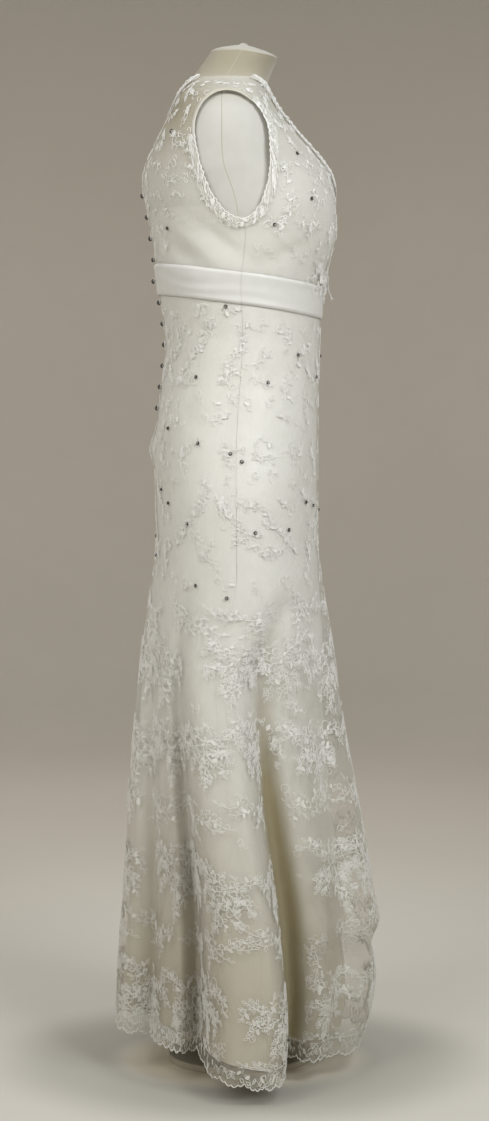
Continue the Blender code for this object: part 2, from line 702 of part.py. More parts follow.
def make_skirt():
    skirt = Skirt(FOLD_STEPS)
    lace = skirt.grid(LACE_SKIRT_ROWS, HEM_LACE_WIDTH + SEAM_GAP)
    satin = skirt.grid(SATIN_SKIRT_ROWS, SATIN_HEM_RISE, satin_fullness)
    for name, panel in skirt_panels(lace, FOLD_STEPS):
        cloth("lace_skirt_" + name, panel, LACE_WALL, LACE)
    satin = moved_out(satin, -SATIN_DEPTH, wraps=True)
    for name, panel in skirt_panels(satin, FOLD_STEPS, centre_front_seam=True):
        cloth("underskirt_" + name, panel, SATIN_WALL, SATIN)
    steps = FOLD_STEPS * SCALLOP_STEPS
    edge = Skirt(steps)
    wave = np.abs(np.sin(np.pi * np.arange(len(edge.lift)) / SCALLOP_STEPS))
    top = edge.ring(HEM + edge.lift + HEM_LACE_WIDTH)
    low = edge.ring(HEM + edge.lift + SCALLOP_DEPTH * (1 - wave))
    for name, panel in skirt_panels(np.array([low, top]), steps):
        cloth("hem_lace_" + name, panel, LACE_WALL, LACE)


def make_edgings():
    path = armhole_path(*BINDING_TURNS, BINDING_STEPS)
    binding = edging_grid(*path, BINDING_INSIDE, BINDING_WIDTH, ARMHOLE_TRIM_LIFT)
    cloth("armhole_binding_right", binding, TRIM_WALL, SATIN)
    cloth("armhole_binding_left", mirrored(binding), TRIM_WALL, SATIN)
    path = armhole_path(*ARMHOLE_LACE_TURNS, ARMHOLE_LACE_STEPS)
    sizes = (EDGING_INSIDE, ARMHOLE_LACE_WIDTH, ARMHOLE_TRIM_LIFT)
    lace = edging_grid(*path, *sizes, ARMHOLE_SCALLOP_STEPS)
    cloth("armhole_lace_right", lace, TRIM_WALL, LACE)
    cloth("armhole_lace_left", mirrored(lace), TRIM_WALL, LACE)
    angle, height = neckline_path(FRONT_NECK_ROWS, front_inner_angle)
    angle, height = np.concatenate([-angle[:0:-1], angle]), np.concatenate([height[:0:-1], height])
    sizes = (EDGING_INSIDE, FRONT_NECK_LACE_WIDTH, NECK_TRIM_LIFT)
    grid = edging_grid(angle, height, *sizes, NECK_SCALLOP_STEPS)
    cloth("neckline_lace_front", grid, TRIM_WALL, LACE)
    angle, height = neckline_path(BACK_NECK_ROWS, back_inner_angle)
    sizes = (EDGING_INSIDE, BACK_NECK_LACE_WIDTH, NECK_TRIM_LIFT)
    grid = edging_grid(angle[::-1], height[::-1], *sizes, NECK_SCALLOP_STEPS)
    grid[:, -1, 0] = 0
    grid = pulled_in(grid)
    cloth("neckline_lace_back_right", grid, TRIM_WALL, LACE)
    cloth("neckline_lace_back_left", mirrored(grid), TRIM_WALL, LACE)


def centre_back_line():
    """Heights and depths of the lace's rows down the centre back, lowest first."""
    bodice = bodice_grid(BACK_ROWS, back_inner_angle, back_outer_angle)
    bodice = bodice[np.array(BACK_ROWS) <= BACK_NECK_LOW, 0]
    skirt = Skirt(FOLD_STEPS).grid(LACE_SKIRT_ROWS, HEM_LACE_WIDTH)[:, CENTRE_BACK_FOLD * FOLD_STEPS]
    line = np.concatenate([skirt[::-1], bodice])
    return line[:, 2], line[:, 1]


def make_buttons():
    heights, depths = centre_back_line()
    for number in range(BUTTON_COUNT):
        height = TOP_BUTTON - BUTTON_PITCH * number
        rims = (height - BUTTON_RADIUS, height, height + BUTTON_RADIUS)
        low, middle, high = np.interp(rims, heights, depths)
        outward = Vector((0, 2 * BUTTON_RADIUS, low - high)).normalized()
        over_sash = abs(height - float(sash_line(180))) < SASH_WIDTH / 2 + BUTTON_RADIUS
        lift = BUTTON_HALF_THICKNESS + LAYER_GAP + (SASH_LIFT if over_sash else 0)
        place = Vector((0, max(middle, (low + high) / 2), height)) + outward * lift
        bpy.ops.mesh.primitive_uv_sphere_add(
            segments=9, ring_count=5, radius=BUTTON_RADIUS, location=place
        )
        button = bpy.context.object
        button.name = button.data.name = f"back_button_{number + 1:02d}"
        button.rotation_mode = "QUATERNION"
        button.rotation_quaternion = outward.to_track_quat("Z", "Y")
        button.scale.z = BUTTON_HALF_THICKNESS / BUTTON_RADIUS
        finished(button, BEAD)


def make_form():
    rows = list(FORM_CHEST)
    for row in DRESS:
        if FORM_BOTTOM < row.height < FORM_CHEST[-1].height:
            depth = FORM_HIP_DEPTH if row.height < HIPS_BELOW else FORM_DEPTH
            rows.append(Section(row.height, row.front + depth, row.back - depth, row.half_width - depth))
    rows.append(FORM_END)
    form = Outline(rows)
    angle = -np.arange(0, 360, 360 / FORM_SIDES)
    rings = [form.at(angle, row.height) for row in reversed(rows)]
    top = form.at(angle, FORM_CHEST[0].height)
    top[:, 2] = NECK_TOP + NECK_TOP_SLOPE * top[:, 1]
    loft("form_torso", rings + [top], COVER, wraps=True, capped=True)
    middle = top.mean(axis=0)
    cap = []
    for size, rise in NECK_CAP_STEPS:
        ring = middle + (top - middle) * size
        ring[:, 2] += rise
        cap.append(ring)
    loft("form_neck_cap", cap, COVER, wraps=True, capped=True)


def make_stand():
    disc("stand_base", BASE_RADIUS, 0, BASE_THICKNESS, METAL, bevel=0.002, sides=36)
    disc("stand_hub", HUB_RADIUS, BASE_THICKNESS + SEAM_GAP, HUB_TOP, METAL, bevel=0.004, sides=24)
    collar_low = FORM_BOTTOM - SEAM_GAP - COLLAR_THICKNESS
    disc("stand_pole", POLE_RADIUS, HUB_TOP + SEAM_GAP, collar_low - SEAM_GAP, METAL, sides=20)
    disc("stand_collar", COLLAR_RADIUS, collar_low, FORM_BOTTOM - SEAM_GAP, METAL, sides=32)


def main():
    for obj in list(bpy.data.objects):
        bpy.data.objects.remove(obj, do_unlink=True)
    parts = bpy.data.collections.new("lace_wedding_dress")
    bpy.context.scene.collection.children.link(parts)
    make_form()
    make_stand()
    make_bodice()
    make_skirt()
    make_sash()
    make_edgings()
    make_buttons()


main()
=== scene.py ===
"""The look of a sleeveless lace wedding dress on a limbless dress form.

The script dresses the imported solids: satin, tulle with corded flower lace, a pleated
sash, dark crystals and buttons, and the covered form that the dress hangs on. Metres,
+Z up; the front of the dress faces -Y and the wearer's right side faces -X. Angles round
the body are degrees from the centre front, growing towards the wearer's right.
"""

import logging
import math
from dataclasses import dataclass, field
from enum import Enum
from functools import cache
from typing import Callable, Iterable, Sequence

import bmesh
import bpy
import numpy as np
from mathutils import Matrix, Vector


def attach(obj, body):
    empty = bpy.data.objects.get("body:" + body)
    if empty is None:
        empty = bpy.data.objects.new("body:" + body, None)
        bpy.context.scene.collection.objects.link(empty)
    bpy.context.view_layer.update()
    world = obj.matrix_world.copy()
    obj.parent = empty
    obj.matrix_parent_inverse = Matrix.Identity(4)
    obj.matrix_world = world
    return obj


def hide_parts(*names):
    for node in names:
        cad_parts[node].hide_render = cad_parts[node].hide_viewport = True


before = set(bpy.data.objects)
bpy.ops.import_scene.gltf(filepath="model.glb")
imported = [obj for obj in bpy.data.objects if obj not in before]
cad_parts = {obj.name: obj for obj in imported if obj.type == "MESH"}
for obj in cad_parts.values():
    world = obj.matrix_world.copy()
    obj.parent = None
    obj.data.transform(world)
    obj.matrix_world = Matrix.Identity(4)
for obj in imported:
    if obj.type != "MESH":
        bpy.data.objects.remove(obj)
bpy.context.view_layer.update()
log = logging.getLogger("wedding_dress")

Array = np.ndarray
Piece = bpy.types.Object
Material = bpy.types.Material
Node = bpy.types.Node
Socket = bpy.types.NodeSocket
Sockets = bpy.types.NodeInputs | bpy.types.NodeOutputs
Colour = tuple[float, float, float]

BODY = "root"
SEAM_GAP = 0.0003
WELD = 1e-5
SATIN_DEPTH = 0.0013
BODICE_SATIN_DEPTH = 0.0026
WAIST_HEIGHT = 1.1530
WAIST_TILT = 0.0175
FORM_BOTTOM = 0.760


# Shapes shared by all the layers


@dataclass(frozen=True)
class Section:
    """A level section of the dress, a rounded oval."""

    height: float
    front: float
    back: float
    half_width: float


@dataclass(frozen=True)
class NeckWidth:
    """Half the width of the neckline at a height, at the front and at the back."""

    height: float
    front: float
    back: float


@dataclass(frozen=True)
class CupEdge:
    """The height of the satin front's top edge at an angle."""

    angle: float
    height: float


@dataclass(frozen=True)
class Fold:
    """A crest or valley line of the flutes.

    Attributes:
        waist: Its angle at the waist.
        knee: Its angle at the knee.
        hem: Its angle at the hem.
        inset: How deep it lies at the hem.
        lift: How far it lifts the hem.
        ease: How late it turns below the knee.
        shade: How deep the painted shade in its valley is.
    """

    waist: float
    knee: float
    hem: float
    inset: float
    lift: float
    ease: float = 1.0
    shade: float = 1.0


@dataclass(frozen=True)
class Fullness:
    """How far the satin skirt hangs inside the lace one at a height."""

    height: float
    all_round: float
    at_front: float


@dataclass(frozen=True)
class Crease:
    """A soft trough (negative depth) or ridge in the cloth, along a line on the body."""

    angle: float
    height: float
    half_length: float
    half_width: float
    lean: float
    depth: float


DRESS: tuple[Section, ...] = tuple(Section(*row) for row in (
    (1.4650, -0.040, 0.076, 0.076), (1.4550, -0.043, 0.082, 0.112), (1.4450, -0.046, 0.087, 0.140),
    (1.4330, -0.050, 0.093, 0.160), (1.4150, -0.060, 0.102, 0.170), (1.3950, -0.076, 0.112, 0.174),
    (1.3700, -0.098, 0.125, 0.174), (1.3450, -0.120, 0.137, 0.172), (1.3250, -0.134, 0.143, 0.170),
    (1.3050, -0.141, 0.143, 0.169), (1.2750, -0.145, 0.137, 0.168), (1.2460, -0.147, 0.132, 0.165),
    (1.2250, -0.145, 0.129, 0.161), (1.2050, -0.138, 0.126, 0.157), (1.1800, -0.130, 0.124, 0.153),
    (1.1570, -0.124, 0.121, 0.149), (1.1200, -0.120, 0.114, 0.145), (1.0750, -0.118, 0.110, 0.142),
    (1.0300, -0.117, 0.114, 0.146), (0.9850, -0.116, 0.120, 0.156), (0.9300, -0.115, 0.125, 0.170),
    (0.8430, -0.115, 0.125, 0.188), (0.7800, -0.116, 0.125, 0.190), (0.7000, -0.126, 0.135, 0.192),
    (0.6370, -0.137, 0.145, 0.198), (0.5120, -0.155, 0.158, 0.216), (0.4090, -0.174, 0.167, 0.236),
    (0.3060, -0.193, 0.172, 0.256), (0.2210, -0.2040, 0.178, 0.270), (0.1840, -0.2045, 0.181, 0.275),
    (0.1300, -0.2030, 0.184, 0.282), (0.0840, -0.196, 0.186, 0.288), (0.0200, -0.176, 0.188, 0.292),
))
FORM_CHEST: tuple[Section, ...] = tuple(Section(*row) for row in (
    (1.4850, -0.050, 0.058, 0.055), (1.4720, -0.045, 0.068, 0.058), (1.4620, -0.041, 0.073, 0.066),
    (1.4515, -0.041, 0.078, 0.104), (1.4410, -0.043, 0.083, 0.134), (1.4290, -0.047, 0.089, 0.154),
    (1.4150, -0.056, 0.097, 0.164), (1.3950, -0.068, 0.107, 0.169), (1.3700, -0.083, 0.120, 0.169),
    (1.3450, -0.097, 0.131, 0.167), (1.3250, -0.111, 0.138, 0.166), (1.3050, -0.126, 0.137, 0.1635),
))
NECKLINE: tuple[NeckWidth, ...] = tuple(NeckWidth(*row) for row in (
    (1.3130, 0.000, 0.000), (1.3180, 0.022, 0.000), (1.3300, 0.036, 0.000), (1.3600, 0.050, 0.000),
    (1.4000, 0.060, 0.000), (1.4240, 0.065, 0.000), (1.4280, 0.066, 0.024), (1.4400, 0.069, 0.048),
    (1.4650, 0.075, 0.074),
))
CUP_EDGE: tuple[CupEdge, ...] = tuple(CupEdge(*row) for row in (
    (0, 1.2640), (18, 1.2860), (36, 1.3100), (51, 1.3240), (70, 1.3430),
))
FOLDS: tuple[Fold, ...] = tuple(Fold(*row) for row in (
    (0, -2, -4, 0.000, 0.010), (30, 40, 38, 0.062, 0.008), (58, 78, 62, 0.132, 0.012, 2.3, 1.35),
    (90, 102, 79, 0.000, 0.000), (122, 129, 113, 0.130, 0.022, 1.0, 0.25), (140, 141, 128, 0.078, 0.028),
    (160, 156, 150, 0.070, 0.034), (180, 177, 172, 0.000, 0.046), (202, 195, 196, 0.075, 0.038),
    (222, 213, 217, 0.020, 0.024), (244, 234, 239, 0.105, 0.018), (270, 260, 264, 0.000, 0.004),
    (300, 285, 289, 0.118, 0.012), (332, 322, 324, 0.030, 0.008),
))
FULLNESS: tuple[Fullness, ...] = tuple(Fullness(*row) for row in (
    (1.200, 0.0000, 0.000), (0.900, 0.0000, 0.000), (0.780, 0.0002, 0.000), (0.640, 0.0030, 0.010),
    (0.545, 0.0055, 0.024), (0.400, 0.0075, 0.038), (0.240, 0.0080, 0.050), (0.030, 0.0090, 0.030),
))
# How far the front flute kinks out (or in) at a height
FRONT_KINK: tuple[tuple[float, float], ...] = (
    (0.300, 0.0000), (0.250, 0.0015), (0.221, 0.0055), (0.200, -0.0020), (0.184, -0.0095), (0.165, -0.0050),
    (0.130, 0.0005), (0.090, 0.0000),
)
# Soft creases, uneven round the body
CREASES: tuple[Crease, ...] = tuple(Crease(*row) for row in (
    (158, 0.925, 0.060, 0.010, 0.20, -0.0028), (150, 0.898, 0.050, 0.012, 0.30, 0.0018),
    (200, 0.932, 0.060, 0.010, -0.15, -0.0024), (205, 0.905, 0.050, 0.012, -0.30, 0.0016),
    (120, 0.965, 0.050, 0.011, 0.35, -0.0012), (238, 0.972, 0.050, 0.011, -0.35, -0.0012),
    (70, 1.020, 0.060, 0.014, -0.25, -0.0016), (292, 1.028, 0.040, 0.009, 0.25, -0.0009),
    (112, 1.090, 0.050, 0.014, 0.10, -0.0018), (256, 1.092, 0.035, 0.008, -0.10, -0.0010),
    (62, 1.205, 0.045, 0.012, -0.40, -0.0018), (298, 1.212, 0.035, 0.008, 0.40, -0.0011),
    (104, 1.222, 0.050, 0.013, 0.60, -0.0026), (256, 1.220, 0.050, 0.013, -0.60, -0.0024),
    (118, 1.212, 0.050, 0.012, 0.55, 0.0018), (66, 0.690, 0.060, 0.016, -0.15, -0.0030),
    (96, 0.660, 0.070, 0.018, 0.10, -0.0022), (132, 1.205, 0.055, 0.014, 0.50, -0.0026),
    (228, 1.206, 0.055, 0.014, -0.50, -0.0024),
))


def smooth_between(places: Sequence[float], values: Sequence[float]) -> Callable[[Array], Array]:
    """A smooth curve through values at rising places.

    Args:
        places: Where the values hold, rising.
        values: The values.

    Returns:
        The curve, as a function of an array.
    """
    at, value = np.array(places, float), np.array(values, float)
    slopes = np.gradient(value, at)

    def value_at(place: Array) -> Array:
        """The curve's value at each place."""
        place = np.clip(place, at[0], at[-1])
        left = np.clip(np.searchsorted(at, place) - 1, 0, len(at) - 2)
        span = at[left + 1] - at[left]
        share = (place - at[left]) / span
        square, cube = share**2, share**3
        return (
            (2 * cube - 3 * square + 1) * value[left]
            + (cube - 2 * square + share) * span * slopes[left]
            + (3 * square - 2 * cube) * value[left + 1]
            + (cube - square) * span * slopes[left + 1]
        )

    return value_at


def column_of(table: Iterable[object], name: str, key: str = "height") -> Callable[[Array], Array]:
    """A table's column as a smooth function of its key column.

    Args:
        table: Rows with named fields.
        name: The column.
        key: The column that it depends on.

    Returns:
        The function.
    """
    rows = sorted(table, key=lambda row: getattr(row, key))
    return smooth_between([getattr(row, key) for row in rows], [getattr(row, name) for row in rows])


def ramp(value: Array, start: Array | float, reach: float) -> Array:
    """A slope from 0 at a start to 1 after this reach, level on both sides."""
    return np.clip((value - start) / reach, 0, 1)


def unit(vectors: Array, least: float = 1e-9) -> Array:
    """The vectors, each divided by its length, or by this where it is shorter."""
    return vectors / np.maximum(np.linalg.norm(vectors, axis=-1, keepdims=True), least)


@dataclass
class Outline:
    """An upright form through level sections, with the bust's dip and the back's puff.

    Attributes:
        table: The sections, the top one first.
        roundness: 2 for an ellipse, more for a squarer oval.
    """

    table: tuple[Section, ...]
    curves: dict[str, Callable] = field(init=False, repr=False)
    roundness: float = 2.2
    cup_dip: float = 0.008
    cup_dip_width: float = 0.040
    cup_height: float = 1.245
    cup_dip_reach: float = 0.055
    puff: float = 0.009
    puff_half_width: float = 0.040
    puff_height: float = 0.922
    puff_reach: float = 0.022

    def __post_init__(self) -> None:
        """Fits smooth curves through the sections' sizes."""
        self.curves = {name: column_of(self.table, name) for name in ("front", "back", "half_width")}

    def side(self, name: str, height: Array) -> Array:
        """One of the sections' sizes at heights."""
        return self.curves[name](np.asarray(height, float))

    def middle(self, height: Array) -> Array:
        """Y halfway between front and back."""
        return (self.side("front", height) + self.side("back", height)) / 2

    def half_depth(self, height: Array) -> Array:
        """Half the distance from front to back."""
        return (self.side("back", height) - self.side("front", height)) / 2

    def at(self, angle: Array, height: Array) -> Array:
        """Points of the form.

        Args:
            angle: Degrees from the centre front.
            height: Heights, of the same or a matching shape.

        Returns:
            The points, with the coordinates last.
        """
        angle, height = np.broadcast_arrays(np.asarray(angle, float), np.asarray(height, float))
        turn = np.radians(angle)
        ahead, aside = np.cos(turn), np.sin(turn)
        power = 2 / self.roundness
        x = -self.side("half_width", height) * np.sign(aside) * np.abs(aside) ** power
        y = self.middle(height) - self.half_depth(height) * np.sign(ahead) * np.abs(ahead) ** power
        cups = np.exp(-((x / self.cup_dip_width) ** 2) - ((height - self.cup_height) / self.cup_dip_reach) ** 2)
        y = y + self.cup_dip * cups * np.clip(ahead, 0, 1)
        puff = np.exp(-((x / self.puff_half_width) ** 2) - ((height - self.puff_height) / self.puff_reach) ** 2)
        y = y + self.puff * puff * np.clip(-ahead, 0, 1)
        return np.stack([x, y, height], axis=-1)

    def normal(self, angle: Array, height: Array) -> Array:
        """Unit normals that point away from the form.

        Args:
            angle: Degrees from the centre front.
            height: Heights.

        Returns:
            The normals.
        """
        by_angle = self.at(np.asarray(angle) + 0.5, height) - self.at(np.asarray(angle) - 0.5, height)
        top = np.minimum(np.asarray(height) + 0.0005, self.table[0].height)
        by_height = self.at(angle, top) - self.at(angle, top - 0.001)
        return unit(np.cross(by_height, by_angle))

    def off(self, angle: Array, height: Array, distance: Array | float) -> Array:
        """Points at a distance, or distances, outside the form."""
        return self.at(angle, height) + self.normal(angle, height) * np.expand_dims(distance, -1)

    def angle_at_width(self, width: float, height: float) -> float:
        """The angle, from the centre front, of the point this far to the right."""
        share = float(np.clip(width / self.side("half_width", height), 0, 1))
        return math.degrees(math.asin(share ** (self.roundness / 2)))

    def angle_at_depth(self, depth: float, height: float) -> float:
        """The angle on the right side of the point with this Y."""
        share = float((self.middle(height) - depth) / self.half_depth(height))
        return math.degrees(math.acos(math.copysign(min(1, abs(share)) ** (self.roundness / 2), share)))


FORM_BODY: tuple[Section, ...] = tuple(
    Section(row.height, row.front + depth, row.back - depth, row.half_width - depth)
    for row in DRESS
    if FORM_BOTTOM < row.height < FORM_CHEST[-1].height
    for depth in (0.0085 if row.height < 1.0 else 0.0062,)
)
FORM = FORM_CHEST + FORM_BODY + (Section(FORM_BOTTOM, -0.108, 0.117, 0.181),)
dress = Outline(DRESS)
form = Outline(FORM)
neck_front, neck_back = column_of(NECKLINE, "front"), column_of(NECKLINE, "back")
cup_edge = column_of(CUP_EDGE, "height", key="angle")
fullness_round, fullness_front = column_of(FULLNESS, "all_round"), column_of(FULLNESS, "at_front")


def creased(angle: Array, height: Array) -> Array:
    """How far the soft creases move the cloth outwards at arrays of angles and heights.

    Args:
        angle: Degrees from the centre front.
        height: Heights.

    Returns:
        The distances, which are negative in a trough.
    """
    moved = np.zeros(np.broadcast(angle, height).shape)
    radius = dress.side("half_width", height)
    for crease in CREASES:
        across = np.radians((angle - crease.angle + 180) % 360 - 180) * radius
        up = height - crease.height - crease.lean * across
        moved += crease.depth * np.exp(-((across / crease.half_length) ** 2) - (up / crease.half_width) ** 2)
    return moved


def sash_line(angle: Array) -> Array:
    """The height of the middle of the sash, which hides the waist seam."""
    return WAIST_HEIGHT - WAIST_TILT * np.cos(np.radians(angle))


# Edges of the bodice


@dataclass(frozen=True)
class Armhole:
    """An egg seen from the side, on the right side of the dress."""

    low: float = 1.250
    top: float = 1.4330
    widest: float = 1.368
    half_depth: float = 0.0535
    roundness: float = 2.1
    middle_low: float = -0.002
    middle_top: float = 0.018
    inmost: float = 0.09

    def middle(self, height: Array) -> Array:
        """Y of the armhole's middle at a height."""
        return self.middle_low + (self.middle_top - self.middle_low) * (height - self.low) / (self.top - self.low)

    def half(self, height: float) -> float:
        """Half the armhole's width at a height."""
        end = self.low if height < self.widest else self.top
        share = min(1.0, (height - self.widest) / (end - self.widest))
        return self.half_depth * (1 - share**self.roundness) ** (1 / self.roundness)

    def angle(self, height: float, side: int) -> float:
        """The angle of its edge: side -1 for the front half and 1 for the back half."""
        return dress.angle_at_depth(float(self.middle(height)) + side * self.half(height), height)

    def path(self, first: float, last: float, count: int) -> tuple[Array, Array]:
        """Angles and heights along the edge.

        Args:
            first: The turn at which the path ends, in degrees from the front edge, upwards.
            last: The turn at which it starts.
            count: How many points.

        Returns:
            The angles and the heights.
        """
        turn = np.radians(np.linspace(last, first, count))
        rise = np.sin(turn)
        reach = np.where(rise > 0, self.top - self.widest, self.widest - self.low)
        height = self.widest + reach * rise * 0.999
        depth = self.middle(height) - self.half_depth * np.cos(turn)
        return np.array([dress.angle_at_depth(y, z) for y, z in zip(depth, height)]), height


armhole = Armhole()
SHOULDER_TOP, FRONT_NECK_LOW, BACK_NECK_LOW, SATIN_BACK_TOP = 1.4615, 1.313, 1.424, 1.270


def front_outer(height: float) -> float:
    """Where the front ends: the side seam, the armhole or the shoulder seam."""
    return min(90.0, armhole.angle(height, -1)) if armhole.low < height < armhole.top else 90.0


def back_outer(height: float) -> float:
    """Where the back starts, on the wearer's right."""
    return max(90.0, armhole.angle(height, 1)) if armhole.low < height < armhole.top else 90.0


def front_inner(height: float) -> float:
    """Where the front ends at its middle: the centre front or the neckline."""
    return dress.angle_at_width(float(neck_front(height)), height) if height > FRONT_NECK_LOW else 0.0


def back_inner(height: float) -> float:
    """Where the back ends at its middle: the centre back or the neckline."""
    return 180.0 if height <= BACK_NECK_LOW else 180.0 - dress.angle_at_width(float(neck_back(height)), height)


def bodice_level(height: float, angle: Array) -> Array:
    """Heights along a row; rows under the armhole lean with the sash."""
    low = sash_line(angle) + SEAM_GAP / 2
    share = (height - WAIST_HEIGHT) / (armhole.low - WAIST_HEIGHT)
    return np.where(height < armhole.low, low + share * (armhole.low - low), height)


# Grids of points, as arrays (row, column, xyz) with the top row first


def normals_of(grid: Array, wraps: bool = False) -> Array:
    """Unit normals of a grid that point away from the body.

    Args:
        grid: Rows of points.
        wraps: Whether each row closes on itself.

    Returns:
        The normals, one for each point.
    """
    padded = np.concatenate([grid[:, -1:], grid, grid[:, :1]], axis=1) if wraps else grid
    normal = unit(np.cross(np.gradient(padded, axis=1), np.gradient(padded, axis=0)), 1e-12)
    if wraps:
        normal = normal[:, 1:-1]
    return normal * math.copysign(1, float(np.sum(normal[..., :2] * grid[..., :2])))


def moved_out(grid: Array, distance: Array | float, wraps: bool = False) -> Array:
    """The grid moved along its normals."""
    return grid + normals_of(grid, wraps) * np.expand_dims(np.asarray(distance, float), -1)


def pulled_in(grid: Array, first: float = SEAM_GAP / 2, last: float = SEAM_GAP / 2) -> Array:
    """The grid with its first and last columns moved towards the panel's own middle.

    Args:
        grid: Rows of points.
        first: How far the first column moves.
        last: How far the last column moves.

    Returns:
        The new grid.
    """
    grid = grid.copy()
    for edge, inside, distance in ((0, 1, first), (-1, -2, last)):
        step = grid[:, inside] - grid[:, edge]
        length = np.maximum(np.linalg.norm(step, axis=-1, keepdims=True), distance * 2)
        grid[:, edge] += step / length * distance
    return grid


def mirrored(grid: Array) -> Array:
    """The same panel on the wearer's other side."""
    return grid[:, ::-1] * np.array([-1, 1, 1])


def lengths_along(grid: Array, axis: int) -> Array:
    """The distance along each row (axis 1) or column (axis 0) from its start."""
    steps = np.linalg.norm(np.diff(grid, axis=axis), axis=-1)
    start = np.zeros_like(np.take(steps, [0], axis=axis))
    return np.concatenate([start, np.cumsum(steps, axis=axis)], axis=axis)


class FluteRings:
    """The fluted skirt, followed round its folds and down from the sash to the hem."""

    folds_start = 0.73
    fold_growth = 1.2
    knee_height = 0.600
    hem_height = 0.022
    fold_sharpness = 2.2
    seams = (3, 7, 11)
    # The painted shade: deeper in the valleys and towards the hem
    deepest = 0.13
    valley_heights = (0.25, 0.60)
    valley_edges = (0.42, 0.68)
    valley_blend = 0.5
    growth_blend = 0.6
    hem_shade = 0.59
    hem_shade_start = 0.60
    hem_shade_reach = 0.45
    smoothness = 0.4
    kink_start = 0.35
    kink_reach = 0.45

    def __init__(self, steps: int) -> None:
        """Follows the folds with this many columns from each line to the next.

        Args:
            steps: How many columns there are between two lines.
        """
        self.steps = steps
        place = np.arange(len(FOLDS) * steps) / steps
        here, share = place.astype(int), place % 1

        def ends(name: str) -> tuple[Array, Array]:
            """A fold size at the lines before and after each column."""
            sizes = np.array([getattr(fold, name) for fold in FOLDS], float)
            return sizes[here], np.roll(sizes, -1)[here]

        self.waist, self.knee, self.hem = (self.eased(name, place, 360) for name in ("waist", "knee", "hem"))
        self.lift = self.eased("lift", place, 0)
        self.ease, self.shade = (
            start + (end - start) * share for start, end in (ends("ease"), ends("shade"))
        )
        start, end = ends("inset")
        from_crest = np.where(start < end, share, 1 - share)
        bend = 0.5 - 0.5 * np.cos(np.pi * from_crest**self.fold_sharpness)
        self.inset = np.minimum(start, end) + np.abs(end - start) * bend

    @staticmethod
    def eased(name: str, place: Array, turn: float) -> Array:
        """A fold size between its lines, bent a little towards a smooth curve.

        Args:
            name: The size.
            place: Places, in lines from the first.
            turn: What the size grows by in a whole round.

        Returns:
            The size at each place.
        """
        values = np.array([getattr(fold, name) for fold in FOLDS], float)
        count = len(values)
        long = np.concatenate([values[-2:] - turn, values, values[:3] + turn])
        straight = np.interp(place, np.arange(-2, count + 3), long)
        curve = smooth_between(list(range(-2, count + 3)), list(long))(place)
        return straight * (1 - FluteRings.smoothness) + curve * FluteRings.smoothness

    def angle(self, height: Array) -> Array:
        """Each column's angle at heights."""
        to_knee = np.clip((self.folds_start - height) / (self.folds_start - self.knee_height), 0, 1)
        to_hem = np.clip((self.knee_height - height) / (self.knee_height - self.hem_height), 0, 1)
        bend = to_knee * to_knee * (3 - 2 * to_knee)
        return self.waist + (self.knee - self.waist) * bend + (self.hem - self.knee) * to_hem**self.ease

    def growth(self, height: Array) -> Array:
        """How deep the folds are at a height: 0 above them and 1 at the hem."""
        share = np.clip((self.folds_start - height) / (self.folds_start - self.hem_height), 0, 1)
        return np.sin(np.pi / 2 * share) ** self.fold_growth

    def ring(self, height: Array, fullness: Array | float = 0.0) -> Array:
        """One ring at an array of heights.

        Args:
            height: Each column's height.
            fullness: How far inside the lace the ring hangs.

        Returns:
            The ring's points.
        """
        angle = self.angle(height)
        ring = dress.at(angle, height)
        inward = np.stack([-ring[:, 0], -0.5 * (ring[:, 1] - dress.middle(height)), height * 0], axis=-1)
        inward /= np.linalg.norm(inward, axis=-1, keepdims=True)
        ahead = ramp(np.cos(np.radians(angle)), self.kink_start, self.kink_reach)
        kink = np.interp(-height, *np.array([(-level, out) for level, out in FRONT_KINK]).T)
        depth = self.inset * self.growth(height) + fullness - creased(angle % 360, height) - kink * ahead
        return ring + inward * depth[:, None]

    def grid(self, rows: int, hem_rise: float, fullness: Callable | None = None) -> Array:
        """Rings from the sash to the hem, the top one first.

        Args:
            rows: How many.
            hem_rise: How far above the lace hem the last one hangs.
            fullness: A function of angle and height: how far inside the lace it hangs.

        Returns:
            The grid.
        """
        top = sash_line(self.waist) - SEAM_GAP / 2
        low = self.hem_height + self.lift + hem_rise
        levels = []
        for share in np.linspace(0, 1, rows):
            height = top + (low - top) * share
            depth = fullness(self.angle(height), height) if fullness else 0.0
            levels.append(self.ring(height, depth))
        return np.array(levels)

    def shade_shares(self, grid: Array) -> Array:
        """How much painted shade each point of a ring grid takes, from 0 to 1: more deep in the valleys and towards
        the hem.

        Args:
            grid: The ring grid.

        Returns:
            The shares of painted shade.
        """
        # Painted shade deep in the valleys, and painted shade that deepens towards the hem
        height = grid[..., 2]
        edge = np.interp(height, self.valley_heights, self.valley_edges)
        valley = ramp(self.inset / self.deepest, edge, self.valley_blend) ** 1.3
        valley = valley * self.shade * ramp(self.growth(height), 0.0, self.growth_blend)
        lowered = self.hem_shade * ramp(-height, -self.hem_shade_start, self.hem_shade_reach)
        return np.maximum(np.clip(valley, 0, 1), lowered)

    def panels(self, grid: Array) -> dict[str, Array]:
        """The front, right back and left back panels of a ring grid, with their seams open.

        Args:
            grid: A ring grid, or its shares of painted shade.

        Returns:
            Each panel's grid by its name.
        """
        right, back, left = self.seams
        spans = {"front": (left, len(FOLDS) + right), "back_right": (right, back), "back_left": (back, left)}
        made = {}
        for name, (start, end) in spans.items():
            panel = grid[:, np.arange(start * self.steps, end * self.steps + 1) % grid.shape[1]]
            if panel.ndim == 3:
                panel = np.where(panel[..., 2:] > self.folds_start, pulled_in(panel), panel)
            made[name] = panel
        return made


def satin_fullness(angle: Array, height: Array) -> Array:
    """How far the satin skirt hangs inside the lace one."""
    ahead = np.clip(np.cos(np.radians(angle)), 0, 1) ** 2
    return np.maximum(0, fullness_round(height) + fullness_front(height) * ahead)


